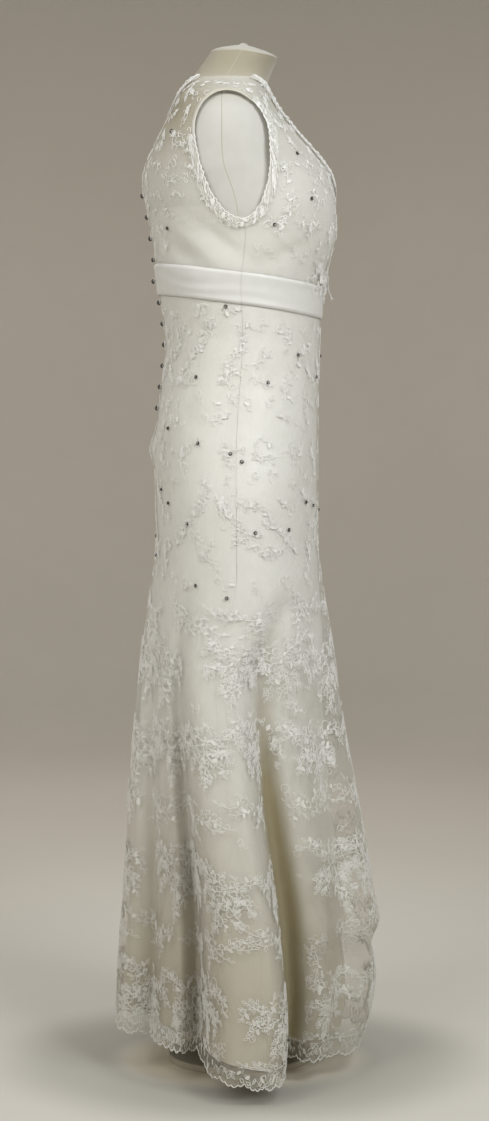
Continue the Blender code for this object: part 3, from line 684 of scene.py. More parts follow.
def bodice_grid(heights: Array, columns: int, inner: Callable, outer: Callable) -> Array:
    """Rows of points on the bodice between two edges.

    Args:
        heights: The rows' heights, the top one first.
        columns: How many points in each row.
        inner: The angle of the edge at the middle, as a function of height.
        outer: The angle of the edge at the side.

    Returns:
        The grid.
    """
    rows = []
    for height in heights:
        start, end = inner(height), outer(height)
        angle = start + (end - start) * np.linspace(0, 1, columns)
        level = bodice_level(height, angle)
        rows.append(dress.off(angle, level, creased(angle, level)))
    return np.array(rows)


def satin_half(first: float, last: float, top_edge: Callable, side: int, columns: int, rows: int) -> Array:
    """A half of the satin bodice, whose columns end at its top edge or at the armhole.

    Args:
        first: The angle of its first column.
        last: The angle of its last column.
        top_edge: The height of its top edge, as a function of angle.
        side: -1 for the front and 1 for the back.
        columns: How many columns.
        rows: How many rows.

    Returns:
        The grid.
    """
    heights = np.linspace(armhole.low, armhole.widest, 80)
    edge = np.array([armhole.angle(height, side) * side for height in heights])
    edge[0] = 90 * side
    edge = np.maximum.accumulate(edge)
    grid = []
    for angle in np.linspace(first, last, columns):
        top = float(top_edge(angle))
        if angle * side <= edge[-1]:
            top = min(top, float(np.interp(angle * side, edge, heights)))
        level = np.linspace(top, float(sash_line(angle)) + SEAM_GAP / 2, rows)
        across = angle + level * 0
        grid.append(dress.off(across, level, creased(across, level) - BODICE_SATIN_DEPTH))
    return np.array(grid).transpose(1, 0, 2)


def beside(angle: Array, height: Array, offset: Array, lift: Array | float) -> Array:
    """Points on the dress beside a path on it.

    Args:
        angle: The path's angles.
        height: The path's heights.
        offset: The distance to the left of the path.
        lift: The distance outside the dress.

    Returns:
        The points.
    """
    here = dress.at(angle, height)
    by_angle = dress.at(angle + 0.5, height) - dress.at(angle - 0.5, height)
    by_height = (dress.at(angle, height + 0.0005) - dress.at(angle, height - 0.0005)) / 0.001
    across = np.cross(dress.normal(angle, height), np.gradient(here, axis=0))
    across *= (np.broadcast_to(offset, angle.shape) / np.linalg.norm(across, axis=-1))[:, None]
    aa, ah, hh = (by_angle**2).sum(-1), (by_angle * by_height).sum(-1), (by_height**2).sum(-1)
    ra, rh = (by_angle * across).sum(-1), (by_height * across).sum(-1)
    scale = aa * hh - ah * ah
    turn, rise = (ra * hh - rh * ah) / scale, (rh * aa - ra * ah) / scale
    return dress.off(angle + turn, np.minimum(height + rise, DRESS[0].height), lift)


# Meshes


def mesh_object(name: str, points: Array, faces: Array, material: Material) -> Piece:
    """A smooth mesh object in the scene.

    Args:
        name: The piece's name.
        points: Its points, one a row.
        faces: Its faces, all with as many corners.
        material: What it is made of.

    Returns:
        The object.
    """
    mesh = bpy.data.meshes.new(name)
    points, faces = np.asarray(points, float), np.asarray(faces, int)
    mesh.vertices.add(len(points))
    mesh.vertices.foreach_set("co", points.ravel())
    corners = faces.shape[1]
    mesh.loops.add(faces.size)
    mesh.loops.foreach_set("vertex_index", faces.ravel())
    mesh.polygons.add(len(faces))
    mesh.polygons.foreach_set("loop_start", np.arange(len(faces)) * corners)
    mesh.update(calc_edges=True)
    mesh.validate()
    mesh.shade_smooth()
    mesh.materials.append(material)
    piece = bpy.data.objects.new(name, mesh)
    bpy.context.scene.collection.objects.link(piece)
    return piece


def faces_between(rows: int, columns: int, wraps: bool = False) -> Array:
    """The four-cornered faces of a grid of points.

    Args:
        rows: How many rows.
        columns: How many columns.
        wraps: Whether each row closes on itself.

    Returns:
        The faces, as numbers of points.
    """
    row = np.arange(rows - 1)[:, None]
    column = np.arange(columns if wraps else columns - 1)[None, :]
    after = (column + 1) % columns
    top, low = row * columns, (row + 1) * columns
    corners = (top + column, top + after, low + after, low + column)
    return np.stack([np.broadcast_to(c, (rows - 1, column.size)) for c in corners], axis=-1).reshape(-1, 4)


def sheet_mesh(name: str, grid: Array, material: Material, wraps: bool = False,
               folds: Array | None = None, slit: int | None = None) -> Piece:
    """A thin sheet on a grid, facing out, with a map in metres of cloth.

    Args:
        name: The piece's name.
        grid: Rows of points, the top one first.
        material: The cloth.
        wraps: Whether each row closes on itself.
        folds: How much painted shade each point takes, from 0 to 1.
        slit: The column before which the rows part, but for the points that meet.

    Returns:
        The object.
    """
    rows, columns = grid.shape[:2]
    faces = faces_between(rows, columns, wraps)
    if slit is not None:
        faces = faces[~((faces % columns == slit).any(axis=1) & (faces % columns == slit - 1).any(axis=1))]
    along = np.cross(np.gradient(grid, axis=1), np.gradient(grid, axis=0))
    if np.sum(along[..., :2] * grid[..., :2]) < 0:
        faces = faces[:, ::-1]
    piece = mesh_object(name, grid.reshape(-1, 3), faces, material)
    across, down = lengths_along(grid, 1), lengths_along(grid, 0)
    middle = across[:, columns // 2][:, None]
    u = (across - middle).reshape(-1)
    v = -np.broadcast_to(down[:, columns // 2][:, None], (rows, columns)).reshape(-1)
    vertex = np.empty(len(piece.data.loops), int)
    piece.data.loops.foreach_get("vertex_index", vertex)
    layer = piece.data.uv_layers.new(name="cloth")
    layer.data.foreach_set("uv", np.stack([u[vertex], v[vertex]], axis=-1).ravel())
    # The painted shade, stored for the material to darken the colour by
    if folds is not None:
        depth = piece.data.attributes.new("fold_depth", "FLOAT", "POINT")
        depth.data.foreach_set("value", folds.reshape(-1).astype(np.float32))
    if slit is not None:
        welded = bmesh.new()
        welded.from_mesh(piece.data)
        bmesh.ops.remove_doubles(welded, verts=welded.verts, dist=WELD)
        welded.to_mesh(piece.data)
        welded.free()
    return piece


def dressed(piece: Piece, slot: str, *nodes: str) -> Piece:
    """The piece, riding on the body, with the solids that it stands for hidden.

    Args:
        piece: A piece.
        slot: Its finish slot; not used.
        nodes: The solids that it stands for.

    Returns:
        The same piece.
    """
    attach(piece, BODY)
    if nodes:
        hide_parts(*nodes)
    triangles = sum(len(face.vertices) - 2 for face in piece.data.polygons)
    log.info("%s: %d triangles", piece.name, triangles)
    return piece


@dataclass(frozen=True)
class Cut:
    """The flat size that a sheet was cut to: width, length and area in metres."""

    width: float
    length: float
    area: float


class Surface:
    """A smooth surface on which trimmings are laid out in metres of cloth."""

    deep = 0.62

    def __init__(self, grid: Array, wraps: bool, folds: Array | None = None) -> None:
        """Measures a grid of points, the top row first, with how much painted shade each takes.

        Args:
            grid: Rows of points.
            wraps: Whether each row closes on itself.
            folds: How much painted shade each point takes.
        """
        self.wraps = wraps
        self.folds = np.zeros(grid.shape[:2]) if folds is None else folds
        self.grid = np.concatenate([grid, grid[:, :1]], axis=1) if wraps else grid
        self.normals = normals_of(grid, wraps)
        if wraps:
            self.normals = np.concatenate([self.normals, self.normals[:, :1]], axis=1)
        self.across = lengths_along(self.grid, 1)
        self.down = lengths_along(self.grid, 0)
        self.rows, self.columns = self.grid.shape[:2]

    def hidden(self, rows: Array, columns: Array) -> Array:
        """Whether places lie too deep in a fold for lace to show, going by how much painted shade they take."""
        near_row = np.clip(np.round(rows).astype(int), 0, self.folds.shape[0] - 1)
        return self.folds[near_row, np.round(columns).astype(int) % self.folds.shape[1]] > self.deep

    def row_at(self, height: float, column: int) -> float:
        """The row, in parts of a row, at which a column passes a height."""
        return float(np.interp(-height, -self.grid[:, column, 2], np.arange(self.rows)))

    def below(self, level: int, place: Array) -> float:
        """The column, in parts of one, at which a row passes nearest to a place seen from above.

        Args:
            level: The row.
            place: The place's x and y.

        Returns:
            The column.
        """
        line = self.grid[level, :, :2]
        near = int(np.clip(np.argmin(((line - place) ** 2).sum(-1)), 1, self.columns - 2))
        ahead = line[near + 1] - line[near - 1]
        return near + 2 * float(np.clip((place - line[near]) @ ahead / (ahead @ ahead), -0.5, 0.5))

    def locate(self, row: float, column: int, u: Array,
               v: Array) -> tuple[Array, Array]:
        """Rows and columns of points given in metres from a place.

        Args:
            row: The place's row.
            column: The place's column.
            u: Distances along the row, towards lower columns.
            v: Distances up.

        Returns:
            The rows and the columns, in parts of one.
        """
        down = self.down[:, column]
        middle = self.grid[int(np.clip(round(row), 0, self.rows - 1)), column, :2]
        rows = np.interp(np.interp(row, np.arange(self.rows), down) - v, down, np.arange(self.rows))
        columns = np.empty_like(rows)
        whole = np.clip(np.round(rows), 0, self.rows - 1).astype(int)
        for level in np.unique(whole):
            here = whole == level
            line = self.across[level]
            target = np.interp(self.below(level, middle), np.arange(self.columns), line) - u[here]
            if self.wraps:
                target = np.mod(target, line[-1])
            columns[here] = np.interp(target, line, np.arange(self.columns))
        return rows, columns

    def at(self, rows: Array, columns: Array, lift: Array | float) -> tuple[Array, Array]:
        """Points and normals at rows and columns.

        Args:
            rows: Rows, in parts of one.
            columns: Columns, in parts of one.
            lift: How far above the surface the points are.

        Returns:
            The points and the unit normals.
        """
        low_row = np.clip(rows.astype(int), 0, self.rows - 2)
        low_column = np.clip(columns.astype(int), 0, self.columns - 2)
        r, c = (rows - low_row)[..., None], (columns - low_column)[..., None]

        def mixed(values: Array) -> Array:
            """The values between the four grid points round each place."""
            top = values[low_row, low_column] * (1 - c) + values[low_row, low_column + 1] * c
            below = values[low_row + 1, low_column] * (1 - c) + values[low_row + 1, low_column + 1] * c
            return top * (1 - r) + below * r

        normal = unit(mixed(self.normals))
        return mixed(self.grid) + normal * np.expand_dims(np.asarray(lift, float), -1), normal


# Finishes


class Nodes:
    """A few words for building a node tree."""

    def __init__(self, tree: bpy.types.NodeTree) -> None:
        """Takes the tree to build in."""
        self.tree = tree

    def add(self, kind: str, inputs: dict[str | int, object] | None = None, **settings: object) -> Node:
        """A new node with its inputs filled, by name or place, and its settings made.

        Args:
            kind: Its type.
            inputs: What goes into its inputs, by name or place.
            settings: Its settings.

        Returns:
            The node.
        """
        node = self.tree.nodes.new(kind)
        for name, value in settings.items():
            setattr(node, name, value)
        for name, value in (inputs or {}).items():
            self.fill(node.inputs[name], value)
        return node

    def fill(self, socket: Socket, value: object) -> None:
        """Links an output to an input, or sets the input to a number or a colour.

        Args:
            socket: The input.
            value: An output, a number or a colour.
        """
        if isinstance(value, Socket):
            self.tree.links.new(value, socket)
        elif isinstance(value, tuple) and len(value) < len(socket.default_value):
            socket.default_value = (*value, 1)
        else:
            socket.default_value = value

    def group(self, tree: bpy.types.NodeTree, **inputs: object) -> bpy.types.NodeOutputs:
        """A group's outputs, with its inputs filled."""
        return self.add("ShaderNodeGroup", node_tree=tree, inputs=inputs).outputs

    def split(self, vector: Socket) -> bpy.types.NodeOutputs:
        """A vector's X, Y and Z."""
        return self.add("ShaderNodeSeparateXYZ", {0: vector}).outputs

    def math(self, operation: str, *values: object) -> Socket:
        """A Math node's result, from sockets or numbers."""
        return self.add("ShaderNodeMath", dict(enumerate(values)), operation=operation).outputs[0]

    def mapped(self, value: Socket, low: object, high: object, start: float = 0.0, end: float = 1.0) -> Socket:
        """A value's place from low to high, smoothed, as a value from start to end."""
        inputs = {"Value": value, "From Min": low, "From Max": high, "To Min": start, "To Max": end}
        return self.add("ShaderNodeMapRange", inputs, interpolation_type="SMOOTHSTEP").outputs["Result"]

    def noise(self, vector: Socket, size: object, detail: float = 3.0) -> Socket:
        """Noise with patches of this size in metres."""
        scale = self.math("DIVIDE", 1.0, size) if isinstance(size, Socket) else 1 / size
        return self.add("ShaderNodeTexNoise", {"Vector": vector, "Scale": scale, "Detail": detail}).outputs["Fac"]

    def mix(self, share: Socket, start: object, end: object) -> Socket:
        """A colour between two."""
        return self.add("ShaderNodeMix", data_type="RGBA", inputs={0: share, 6: start, 7: end}).outputs[2]


def new_group(name: str, inputs: dict[str, object], outputs: Sequence[str]) -> tuple[Nodes, Sockets, Sockets]:
    """An empty shader node group.

    Args:
        name: Its name.
        inputs: Each input's default value, or None for a vector.
        outputs: The names of its outputs, which are all numbers.

    Returns:
        Its nodes, what it is given and what it gives.
    """
    tree = bpy.data.node_groups.new(name, "ShaderNodeTree")
    for label, value in inputs.items():
        kind = "NodeSocketVector" if value is None else "NodeSocketFloat"
        socket = tree.interface.new_socket(label, in_out="INPUT", socket_type=kind)
        if value is not None:
            socket.default_value = value
    for label in outputs:
        tree.interface.new_socket(label, in_out="OUTPUT", socket_type="NodeSocketFloat")
    return Nodes(tree), tree.nodes.new("NodeGroupInput").outputs, tree.nodes.new("NodeGroupOutput").inputs


@cache
def weave_group() -> bpy.types.NodeTree:
    """Crossing threads: Height for a bump and Shade, a small change of tone from thread to thread."""
    inputs = {"Vector": None, "Pitch": 0.001, "Slub": 0.3}
    nodes, given, out = new_group("thread_weave", inputs, ("Height", "Shade"))
    place = nodes.split(given["Vector"])
    turns = nodes.math("DIVIDE", math.tau, given["Pitch"])
    warp, weft = (nodes.math("SINE", nodes.math("MULTIPLY", place[axis], turns)) for axis in "XY")
    stretched = nodes.add("ShaderNodeVectorMath", {0: given["Vector"], 1: (1.0, 0.08, 1.0)}, operation="MULTIPLY")
    slub = nodes.noise(stretched.outputs[0], nodes.math("MULTIPLY", given["Pitch"], 3.0), 2.0)
    crossed = nodes.math("MULTIPLY", nodes.math("MULTIPLY", warp, weft), 0.5)
    nodes.fill(out["Height"], nodes.math("ADD", crossed, nodes.math("MULTIPLY", slub, given["Slub"])))
    nodes.fill(out["Shade"], nodes.mapped(slub, 0.3, 0.7))
    return nodes.tree


@cache
def net_group() -> bpy.types.NodeTree:
    """Fine diamond net: Mask is 1 on its threads and 0 in its holes."""
    nodes, given, out = new_group("tulle_net", {"Vector": None, "Cell": 0.002, "Thread": 0.3}, ("Mask",))
    place = nodes.split(given["Vector"])
    masks = []
    for operation in ("ADD", "SUBTRACT"):
        line = nodes.math("DIVIDE", nodes.math(operation, place["X"], place["Y"]), given["Cell"])
        beside_line = nodes.math("ABSOLUTE", nodes.math("SUBTRACT", nodes.math("FRACT", line), 0.5))
        edge = nodes.math("SUBTRACT", 0.5, nodes.math("MULTIPLY", given["Thread"], 0.5))
        masks.append(nodes.mapped(beside_line, nodes.math("SUBTRACT", edge, 0.03), edge))
    nodes.fill(out["Mask"], nodes.math("MAXIMUM", *masks))
    return nodes.tree


@cache
def tone_group() -> bpy.types.NodeTree:
    """Uneven tone over the cloth: Shade from 0 to 1, in large soft patches and small ones."""
    nodes, given, out = new_group("soft_tone", {"Vector": None, "Size": 0.1}, ("Shade",))
    large = nodes.noise(given["Vector"], given["Size"], 1.0)
    small = nodes.noise(given["Vector"], nodes.math("MULTIPLY", given["Size"], 0.12), 3.0)
    both = nodes.math("ADD", nodes.math("MULTIPLY", large, 0.65), nodes.math("MULTIPLY", small, 0.35))
    nodes.fill(out["Shade"], nodes.mapped(both, 0.32, 0.68))
    return nodes.tree


# Tones of painted shade: in the skirt's folds and towards its hem, on the lace towards the hem, and on the form's
# neck
FOLD_SHADE: Colour = (0.43, 0.368, 0.215)
DUSK_TONE: Colour = (0.47, 0.44, 0.36)
COVER_SHADE: Colour = (0.40, 0.36, 0.262)


@dataclass
class Look:
    """A material under way.

    Attributes:
        nodes: Its nodes.
        shader: Its Principled shader.
        place: Its texture coordinates.
        shade: Its uneven tone.
        colour: Its colour so far.
    """

    nodes: Nodes
    shader: Node
    place: bpy.types.NodeOutputs
    shade: Socket
    colour: Socket

    def fill(self, inputs: dict[str, object]) -> None:
        """Fills the shader's own inputs."""
        for name, value in inputs.items():
            self.nodes.fill(self.shader.inputs[name], value)

    def tint(self, share: Socket, tone: Colour) -> None:
        """Mixes the colour towards a tone."""
        self.colour = self.nodes.mix(share, self.colour, tone)
        self.fill({"Base Color": self.colour})

    def paint_shade(self, tone: Colour, most: float) -> None:
        """Paints shade: mixes the colour towards a shade tone, at most this much, by the painted shade that the mesh
        carries at each point.
        """
        depth = self.nodes.add("ShaderNodeAttribute", attribute_name="fold_depth").outputs["Fac"]
        self.tint(self.nodes.math("MULTIPLY", depth, most), tone)

    def bump(self, height: Socket, distance: float, strength: float) -> None:
        """Feeds a height into the shader's normal.

        Args:
            height: The height.
            distance: What a height of 1 measures, in metres.
            strength: How much of it shows.
        """
        inputs = {"Height": height, "Distance": distance, "Strength": strength}
        self.fill({"Normal": self.nodes.add("ShaderNodeBump", inputs).outputs[0]})

    def woven(self, pitch: float, slub: float, distance: float, strength: float) -> Socket:
        """Raises threads at a pitch, and gives their change of tone."""
        weave = self.nodes.group(weave_group(), Vector=self.place["UV"], Pitch=pitch, Slub=slub)
        self.bump(weave["Height"], distance, strength)
        return weave["Shade"]

    def glossy(self, shade: Socket, roughness: float, change: float) -> None:
        """Lets the roughness vary with a shade."""
        self.fill({"Roughness": self.nodes.mapped(shade, 0.0, 1.0, roughness - change, roughness + change)})

    def height(self) -> Socket:
        """The height above the floor."""
        return self.nodes.split(self.place["Object"])["Z"]


@dataclass(frozen=True)
class Finish:
    """What every finish has.

    Attributes:
        name: The material's name.
        light: Its colour where it is lightest.
        dark: Its colour where it is darkest.
        roughness: How matte it is.
        patch: The size of its uneven patches of tone, in metres.
    """

    name: str
    light: Colour
    dark: Colour
    roughness: float
    patch: float = 0.12

    def material(self) -> Material:
        """The material, made once."""
        found = bpy.data.materials.get(self.name)
        if found:
            return found
        material = bpy.data.materials.new(self.name)
        material.use_nodes = True
        material.diffuse_color = (*self.light, 1)
        nodes = Nodes(material.node_tree)
        place = nodes.add("ShaderNodeTexCoord").outputs
        shade = nodes.group(tone_group(), Vector=place["Object"], Size=self.patch)["Shade"]
        colour = nodes.mix(shade, self.dark, self.light)
        look = Look(nodes, material.node_tree.nodes["Principled BSDF"], place, shade, colour)
        look.fill({"Roughness": self.roughness, "Base Color": colour})
        self.detail(look)
        return material

    def detail(self, look: Look) -> None:
        """Adds what sets this finish apart."""


@dataclass(frozen=True)
class Satin(Finish):
    """Smooth satin: long floats of thread with a soft sheen and a gloss that varies a little.

    Attributes:
        pitch: The distance from thread to thread.
        sheen: The weight of its sheen.
    """

    pitch: float = 0.0008
    sheen: float = 0.25

    def detail(self, look: Look) -> None:
        """Adds threads, sheen, gloss and painted shade."""
        look.glossy(look.woven(self.pitch, 0.6, 0.00008, 0.5), self.roughness, 0.06)
        look.fill({"Sheen Weight": self.sheen, "Sheen Roughness": 0.4, "Specular IOR Level": 0.35})
        # Painted shade where the mesh carries it: deep in the skirt's folds, towards the hem and along the armhole
        # binding's top
        look.paint_shade(FOLD_SHADE, 1.0)


@dataclass(frozen=True)
class Net(Finish):
    """Fine tulle: a net of threads that lets what is behind it show.

    Attributes:
        cell: The distance from hole to hole.
        thread: The threads' share of it.
        through: How solid the holes look, for the threads too fine to see.
        yoke: The same above the satin bodice, where the net is closer.
        yoke_heights: Where the closer net starts and where it is whole.
    """

    cell: float = 0.0022
    thread: float = 0.15
    through: float = 0.07
    yoke: float = 0.0
    yoke_heights: tuple[float, float] = (1.205, 1.290)

    def detail(self, look: Look) -> None:
        """Adds the net's threads and holes, and painted shade."""
        mask = look.nodes.group(net_group(), Vector=look.place["UV"], Cell=self.cell, Thread=self.thread)["Mask"]
        alpha = look.nodes.mapped(mask, 0.0, 1.0, self.through, 0.92)
        if self.yoke > 0:
            closer = look.nodes.mapped(look.height(), *self.yoke_heights, 0.0, self.yoke)
            alpha = look.nodes.math("MAXIMUM", alpha, closer)
        look.bump(mask, 0.0002, 0.4)
        look.fill({"Alpha": alpha, "Specular IOR Level": 0.2, "Sheen Weight": 0.2})
        # Painted shade where the mesh carries it: deep in the skirt's folds, towards the hem and on the yoke
        look.paint_shade(FOLD_SHADE, 0.85)


@dataclass(frozen=True)
class Cord(Finish):
    """Twisted lustrous cord, or the close stitches that fill a petal.

    Attributes:
        twist: The distance from strand to strand.
        relief: How far the strands stand out.
        dusk: How much painted shade it takes towards the hem.
        dusk_heights: Where it takes all of that and where it takes none.
    """

    twist: float = 0.0012
    relief: float = 0.00015
    dusk: float = 0.0
    dusk_heights: tuple[float, float] = (0.08, 0.62)

    def detail(self, look: Look) -> None:
        """Adds strands and painted shade towards the hem."""
        inputs = {"Vector": look.place["Object"], "Scale": 0.31 / self.twist, "Distortion": 2.0}
        wave = look.nodes.add("ShaderNodeTexWave", inputs, wave_type="BANDS", bands_direction="DIAGONAL")
        look.bump(wave.outputs["Fac"], self.relief, 0.5)
        if self.dusk > 0:
            look.tint(look.nodes.mapped(look.height(), *self.dusk_heights, self.dusk, 0.0), DUSK_TONE)
        look.fill({"Sheen Weight": 0.15, "Specular IOR Level": 0.45})


@dataclass(frozen=True)
class Knit(Finish):
    """The matte stretch cover of the dress form, knitted with stitches of this size in metres."""

    stitch: float = 0.0011

    def detail(self, look: Look) -> None:
        """Adds knitted columns, a soft nap and painted shade."""
        look.woven(self.stitch, 1.2, 0.00018, 0.6)
        look.fill({"Sheen Weight": 0.35, "Sheen Roughness": 0.5, "Specular IOR Level": 0.15})
        # Painted shade on the neck and its cap
        look.paint_shade(COVER_SHADE, 1.0)


@dataclass(frozen=True)
class Paint(Finish):
    """Sprayed paint on metal, with a grain of this size in metres and patches of gloss."""

    grain: float = 0.002

    def detail(self, look: Look) -> None:
        """Adds a slightly pebbled surface."""
        look.bump(look.nodes.noise(look.place["Object"], self.grain, 2.0), 0.0002, 0.25)
        look.glossy(look.shade, self.roughness, 0.08)


@dataclass(frozen=True)
class Sweep(Finish):
    """Matte paper that runs out and up into a wall, painted paler round the stand as a pool of light and darker up
    the wall as shade.

    Attributes:
        floor: The floor's colour round the stand, a painted pool of light.
        top: The wall's colour at its top, painted shade.
        shade: The floor's colour in front of the stand, a painted shadow.
        under: The floor's colour under the dress, painted light.
    """

    floor: Colour = (0.70, 0.67, 0.60)
    top: Colour = (0.40, 0.37, 0.315)
    shade: Colour = (0.50, 0.48, 0.425)
    under: Colour = (0.92, 0.85, 0.68)

    def detail(self, look: Look) -> None:
        """Paints light and shade into the colour outwards and upwards, adds grain, and lets a view from outside in.
        """
        nodes = look.nodes
        place = nodes.split(look.place["Object"])
        squares = (nodes.math("POWER", place[axis], 2.0) for axis in "XY")
        away = nodes.math("POWER", nodes.math("ADD", *squares), 0.5)
        # Painted light and shade: a pool of light round the stand, shade up the wall, a shadow in front of the stand
        # and light under the dress
        for value, low, high, tone, start in (
            (away, 0.6, 2.6, self.floor, 1.0), (place["Z"], 1.1, 3.2, self.top, 0.0),
            (away, 0.26, 0.42, self.shade, 1.0), (away, 0.13, 0.21, self.under, 1.0),
        ):
            look.tint(nodes.mapped(value, low, high, start, 1.0 - start), tone)
        look.bump(nodes.noise(look.place["Object"], 0.004, 2.0), 0.0003, 0.2)
        outside = nodes.add("ShaderNodeNewGeometry").outputs["Backfacing"]
        look.fill({"Alpha": nodes.math("SUBTRACT", 1.0, outside), "Specular IOR Level": 0.2})


@dataclass(frozen=True)
class Jewel(Finish):
    """A dark polished crystal or bead under a clear coat."""

    coat: float = 1.0

    def detail(self, look: Look) -> None:
        """Adds the coat and small scratches in the gloss."""
        marks = look.nodes.noise(look.place["Object"], 0.0015, 4.0)
        rough = look.nodes.mapped(marks, 0.3, 0.7, self.roughness, self.roughness + 0.1)
        look.fill({"Coat Weight": self.coat, "Coat Roughness": 0.03, "Roughness": rough})


NET_TONES: tuple[Colour, Colour] = (0.86, 0.85, 0.79), (0.82, 0.80, 0.73)
IVORY_SATIN = Satin("ivory_satin", (0.88, 0.875, 0.84), (0.84, 0.83, 0.785), 0.33)
SASH_SATIN = Satin("sash_satin", (0.79, 0.79, 0.76), (0.75, 0.745, 0.71), 0.36, sheen=0.2)
TULLE = Net("ivory_tulle", *NET_TONES, 0.75)
YOKE_TULLE = Net("ivory_yoke_tulle", *NET_TONES, 0.75, thread=0.17, through=0.10, yoke=0.62)
# The lace's cords and stitches take painted shade towards the hem
LACE_CORD = Cord("ivory_cord", (0.94, 0.935, 0.90), (0.87, 0.86, 0.81), 0.26, 0.05, dusk=0.30)
LACE_FILL = Cord("ivory_stitches", (0.90, 0.893, 0.855), (0.86, 0.85, 0.805), 0.45, 0.05, twist=0.0007, dusk=0.52)
SEAM_THREAD = Cord("seam_thread", (0.52, 0.48, 0.39), (0.46, 0.42, 0.34), 0.8, 0.05, relief=0.0001)
COVER = Knit("cream_cover", (0.655, 0.645, 0.60), (0.61, 0.60, 0.55), 0.85)
STAND_PAINT = Paint("beige_paint", (0.55, 0.51, 0.415), (0.50, 0.46, 0.37), 0.6)
STUDIO_SWEEP = Sweep("pale_sweep", (0.585, 0.54, 0.468), (0.565, 0.522, 0.45), 0.7, 0.8)
CRYSTAL = Jewel("smoke_crystal", (0.035, 0.032, 0.030), (0.015, 0.014, 0.013), 0.06, 0.004)
# A pale colour for the stones' tables that stands for a glint: a painted highlight
PAINTED_GLINT = Jewel("painted_glint", (0.46, 0.44, 0.41), (0.30, 0.28, 0.26), 0.12, 0.004)
BUTTON = Jewel("dark_button", (0.075, 0.066, 0.055), (0.035, 0.030, 0.026), 0.16, 0.006, coat=0.6)


# Corded flower lace


@dataclass(frozen=True)
class Petal:
    """A petal or leaf of a motif: its foot, its heading in degrees, and its size."""

    u: float
    v: float
    heading: float
    length: float
    width: float
    filled: bool = False


@dataclass
class Motif:
    """A flat motif of corded lace, in metres round its own middle."""

    petals: list[Petal] = field(default_factory=list)
    stems: list[Array] = field(default_factory=list)
    stem_points: int = 9

    def stem(self, start: tuple[float, float], heading: float, length: float, bend: float) -> Array:
        """Adds a curved stem.

        Args:
            start: Where it starts.
            heading: Its first direction, in degrees.
            length: Its length.
            bend: How many degrees it turns along the way.

        Returns:
            The stem's points and headings, one a row.
        """
        turn = np.radians(heading + bend * np.linspace(0, 1, self.stem_points))
        step = length / (self.stem_points - 1)
        u = start[0] + np.concatenate([[0], np.cumsum(np.cos(turn[:-1]))]) * step
        v = start[1] + np.concatenate([[0], np.cumsum(np.sin(turn[:-1]))]) * step
        self.stems.append(np.stack([u, v], axis=-1))
        return np.stack([u, v, np.degrees(turn)], axis=-1)

    def branch(self, start: tuple[float, float], heading: float, length: float, bend: float, leaves: int,
               leaf: float, rng: np.random.Generator, twigs: int = 0) -> None:
        """Adds a stem with leaves and curled tendrils on both sides and a leaf at its tip.

        Args:
            start: Where it starts.
            heading: Its first direction, in degrees.
            length: Its length.
            bend: How many degrees it turns.
            leaves: How many leaves it has beside the last one.
            leaf: Their length.
            rng: What makes them uneven.
            twigs: How many shorter branches it has.
        """
        line = self.stem(start, heading, length, bend)
        place = np.linspace(0, 1, len(line))
        for number in range(leaves):
            share = (number + 0.8) / (leaves + 0.4)
            u, v, turn = (np.interp(share, place, line[:, k]) for k in range(3))
            side = 1 if number % 2 else -1
            size = leaf * (1.08 - 0.38 * share) * rng.uniform(0.8, 1.2)
            out = turn + side * rng.uniform(38, 72)
            if rng.random() < 0.36:
                self.tendril(u, v, out, size * 0.44, side * rng.uniform(180, 290))
            else:
                self.petals.append(Petal(u, v, out, size, size * rng.uniform(0.38, 0.54), rng.random() < 0.22))
        u, v, turn = line[-1]
        self.petals.append(Petal(u, v, turn, leaf * 0.9, leaf * 0.36))
        for number in range(twigs):
            u, v, turn = (np.interp((number + 0.7) / twigs, place, line[:, k]) for k in range(3))
            side = -math.copysign(1, bend) if number % 3 else math.copysign(1, bend)
            self.branch((u, v), turn + side * rng.uniform(35, 62), length * rng.uniform(0.26, 0.38),
                        -side * rng.uniform(20, 60), 4, leaf * 0.86, rng)

    def tendril(self, u: float, v: float, heading: float, radius: float, turns: float) -> None:
        """Adds a cord that leaves a stem and curls in on itself.

        Args:
            u: Where it starts, across.
            v: Where it starts, upwards.
            heading: Its first direction, in degrees.
            radius: The radius of its curl.
            turns: How many degrees it turns.
        """
        share = np.linspace(0, 1, 8)
        turn = np.radians(heading + turns * share**1.2)
        step = radius * (1.25 - 0.6 * share) * abs(math.radians(turns)) / 7
        self.stems.append(np.stack([
            u + np.concatenate([[0], np.cumsum(np.cos(turn) * step)[:-1]]),
            v + np.concatenate([[0], np.cumsum(np.sin(turn) * step)[:-1]]),
        ], axis=-1))

    def rosette(self, u: float, v: float, radius: float, leaves: int, first: float) -> None:
        """Adds short leaves round a small ring.

        Args:
            u: Its middle, across.
            v: Its middle, upwards.
            radius: Its radius.
            leaves: How many leaves it has.
            first: The direction of the first, in degrees.
        """
        for number in range(leaves):
            heading = first + number * 360 / leaves
            turn = math.radians(heading)
            foot = radius * 0.34
            place = (u + foot * math.cos(turn), v + foot * math.sin(turn))
            self.petals.append(Petal(*place, heading + 14, radius * 0.75, radius * 0.36, number % 3 == 0))
        ring = np.radians(np.linspace(0, 360, 8))
        small = radius * 0.28
        self.stems.append(np.stack([u + small * np.cos(ring), v + small * np.sin(ring)], axis=-1))

    def curl(self, u: float, v: float, radius: float, heading: float) -> None:
        """Adds a cord that curls into a ring."""
        turn = np.radians(heading + np.linspace(0, 330, 12))
        self.stems.append(np.stack([u + radius * np.cos(turn), v + radius * np.sin(turn)], axis=-1))


class MotifKind(Enum):
    """The motifs of the lace."""

    CORSAGE = "corsage"
    GARLAND = "garland"
    SPRAY = "spray"
    SPRIG = "sprig"
    SQUIGGLE = "squiggle"


def either_side(rng: np.random.Generator) -> int:
    """1 or -1, as often."""
    return 1 if rng.random() < 0.5 else -1


